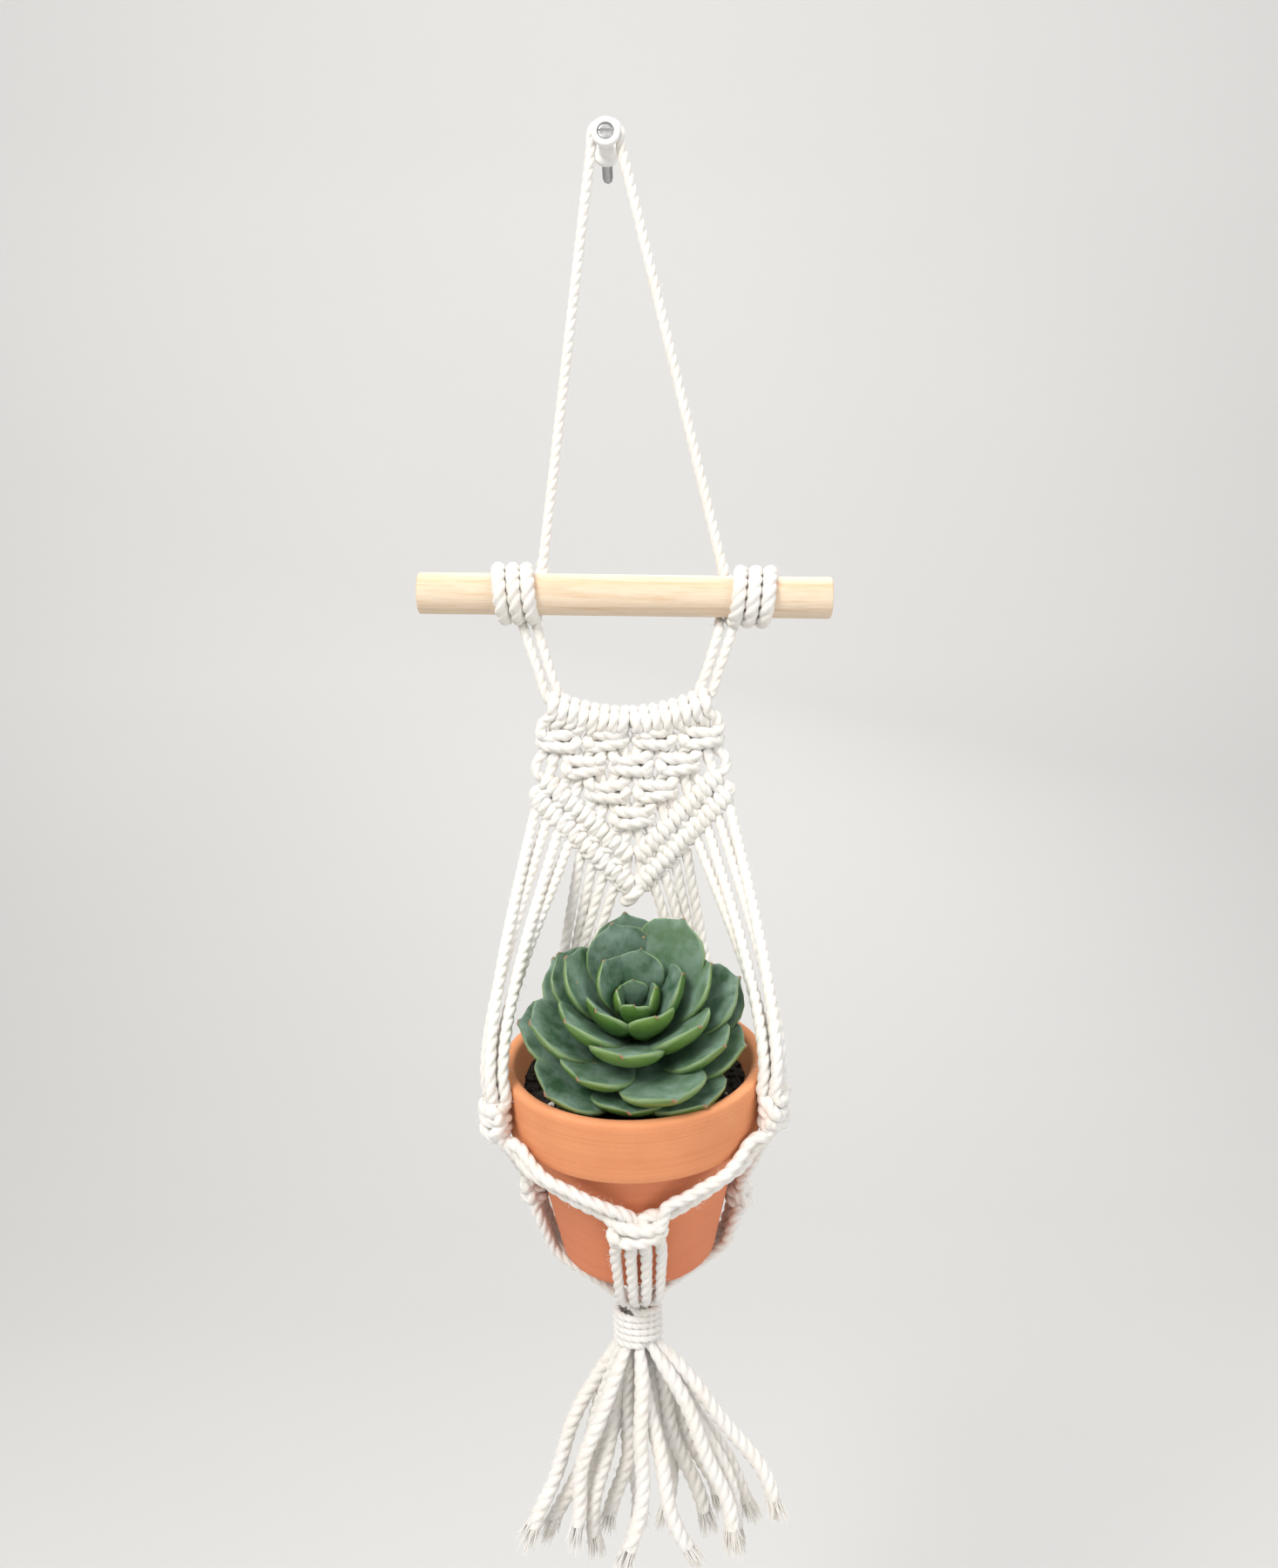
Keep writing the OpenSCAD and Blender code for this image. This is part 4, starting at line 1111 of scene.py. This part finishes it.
def rosette_tree():
    """A whorl of leaves round the stem. Leaves to the back stand up more."""
    g = Tree("Leaf whorl", {
        "Count": 8, "First angle": 0.0, "Ring radius": 0.003, "Height": 0.0, "Rise": 0.3, "Back rise": 0.2,
        "Side drop": 0.0, "Side loss": 0.0, "Back gain": 0.0, "Seed": 1})
    s = g.size

    def part(share, size):
        return g.times(share, s[size])

    def seed(n):
        return g.plus(s["Seed"], n)

    turn = g.math("DIVIDE", g.times(g.geo("InputIndex"), math.tau), s["Count"])
    turn = g.plus(g.plus(turn, s["First angle"]), g.chance(-0.09, 0.09, s["Seed"]))
    back = g.times(g.minus(1.0, g.math("COSINE", turn)), 0.5)
    side = g.math("POWER", g.math("SINE", turn), 2.0)
    rise = g.minus(g.plus(part(back, "Back rise"), s["Rise"]), part(side, "Side drop"))
    rise = g.plus(rise, g.chance(-0.03, 0.06, seed(1)))
    long = g.plus(g.minus(1.0, part(side, "Side loss")), part(back, "Back gain"))
    place = g.get("ShaderNodeCombineXYZ", {
        0: part(g.math("SINE", turn), "Ring radius"), 2: s["Height"],
        1: g.times(part(g.math("COSINE", turn), "Ring radius"), -1.0)})
    points = g.geo("SetPosition", {0: g.geo("Points", {"Count": s["Count"]}), "Position": place})
    way = g.get("ShaderNodeCombineXYZ",
                {0: g.times(rise, -1.0), 1: g.chance(-0.08, 0.08, 17), 2: turn})
    grow = g.chance(0.92, 1.06, seed(2))
    size = g.get("ShaderNodeCombineXYZ", {0: grow, 1: g.times(grow, long), 2: grow})
    leaves = g.geo("InstanceOnPoints", {"Points": points, "Instance": s["Geometry"], "Scale": size,
                                        "Rotation": g.get("FunctionNodeEulerToRotation", {0: way})})
    g.finish(g.geo("StoreNamedAttribute", {0: leaves, "Name": "tone", "Value": g.chance(0.0, 1.0, seed(3))},
                   data_type="FLOAT", domain="INSTANCE"))
    return g


ROSETTE = rosette_tree()
IN_PLANT = Matrix.Diagonal((MM, MM, MM, 1)) @ PLANT_PLACE @ Matrix.Diagonal((1 / MM, 1 / MM, 1 / MM, 1))
WHORLS = {  # count, first angle, length, width, thickness, rise, more at the back, less at the sides, share
            # of length lost at the sides, share gained at the back, height on the stem, curl, cup
    "outer": (9, -8, 31, 22.5, 6.0, 13, 22, 10, 0.06, 0.18, 2, 7.0, 0.16),
    "middle": (8, 12, 32, 22, 6.0, 16, 24, 4, 0.12, 0.18, 7, 7.0, 0.2),
    "inner": (7, -6, 28, 20.5, 5.2, 27, 22, 0, 0, 0.12, 12, 6.0, 0.24),
    "bud": (5, 25, 19, 14.5, 4.2, 44, 16, 0, 0, 0.1, 16, 3.5, 0.28),
    "heart": (4, 0, 11, 8.5, 3.0, 66, 8, 0, 0, 0, 18.5, 1.5, 0.3)}
for n, (name, whorl_sizes) in enumerate(WHORLS.items()):
    count, first, length, wide, thick, rise, back, drop, loss, gain, base, curl, cup = whorl_sizes
    whorl = grown(name + "_whorl", leaf_mesh(name + "_leaf", length, wide, thick, curl, cup), ROSETTE,
                  {"Count": count, "First angle": math.radians(first), "Ring radius": 0.003,
                   "Height": base * MM, "Rise": math.radians(rise), "Back rise": math.radians(back),
                   "Side drop": math.radians(drop), "Side loss": loss, "Back gain": gain,
                   "Seed": 40 + 5 * n, "Finish": LEAF})
    whorl.data.transform(IN_PLANT)
    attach(whorl, "pot_and_plant")
    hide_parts("heart_leaves" if name == "bud" else name + "_leaves")

stem_profile = [(0, -7), (5, -7), (4.6, 2), (4.2, 8), (3.2, 16), (0, 18)]
stem = turned("stem_core", stem_profile, 1.5, False, PLANT_PLACE, STEM, 32,
              ripple=lambda a, r, h: 0.25 * math.sin(5 * a + h))
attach(stem, "pot_and_plant")
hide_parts("plant_stem")


# ---------- floor, backdrop and light ----------

def stage_sheet():
    """A pale floor that sweeps up into a backdrop well behind the planter."""
    low, wide, back = -0.62, 3.0, 1.5
    path = [(-3.0, low), (0.6, low)]
    path += [(0.6 + 0.9 * math.sin(math.radians(a)), low + 0.9 * (1 - math.cos(math.radians(a))))
             for a in range(10, 91, 8)]
    path.append((back, 3.0))
    verts = [(x, y, z) for y, z in path for x in (-wide, wide)]
    faces = [(2 * i, 2 * i + 1, 2 * i + 3, 2 * i + 2) for i in range(len(path) - 1)]
    mesh = bpy.data.meshes.new("studio_sweep")
    mesh.from_pydata(verts, [], faces)
    mesh.polygons.foreach_set("use_smooth", [True] * len(mesh.polygons))
    f = Finish("studio_paper", Roughness=0.95, Specular_IOR_Level=0.1)
    place = f.place()
    # Painted shade by height: the sweep is darkest on the floor and pales up the backdrop
    painted_sweep_shade = f.ramp(f.height(place, low, 0.7), (0.0, (0.60, 0.594, 0.584)), (0.45, (0.79, 0.782, 0.770)),
                   (1.0, (0.90, 0.892, 0.880)))
    grain = f.ramp(f.noise(place, 2.0), (0.3, (0.985, 0.985, 0.985)), (0.7, WHITE))
    f.put(f.shader["Base Color"], f.stained(1.0, painted_sweep_shade, grain))
    mesh.materials.append(f.mat)
    placed("studio_sweep", mesh)


def soft_light(name, at, aim, size, power, tint=(1, 1, 1)):
    data = bpy.data.lights.new(name, "AREA")
    data.shape, data.size, data.energy, data.color = "DISK", size, power, tint
    lamp = bpy.data.objects.new(name, data)
    lamp.matrix_world = (Matrix.Translation(at)
                         @ (Vector(aim) - Vector(at)).to_track_quat("-Z", "Y").to_matrix().to_4x4())
    scene.collection.objects.link(lamp)


stage_sheet()
soft_light("key", (-0.55, -0.9, 0.55), (0, -0.02, -0.2), 0.55, 13, (1.0, 0.98, 0.95))
soft_light("fill", (0.9, -0.8, 0.0), (0, -0.02, -0.22), 0.9, 4.5, (0.97, 0.98, 1.0))
soft_light("top", (0.1, 0.1, 0.9), (0, -0.02, -0.2), 0.7, 4.5)
soft_light("back", (0.3, 1.0, 0.5), (0, 0, -0.2), 0.8, 4)
soft_light("wash", (0.0, 0.3, 2.0), (0, 1.5, 0.6), 1.6, 6, (1.0, 0.99, 0.97))
world = bpy.data.worlds.new("studio_air")
world.use_nodes = True
world.node_tree.nodes["Background"].inputs[0].default_value = (0.96, 0.955, 0.95, 1)
world.node_tree.nodes["Background"].inputs[1].default_value = 0.62
scene.world = world
scene.view_settings.view_transform = "Standard"
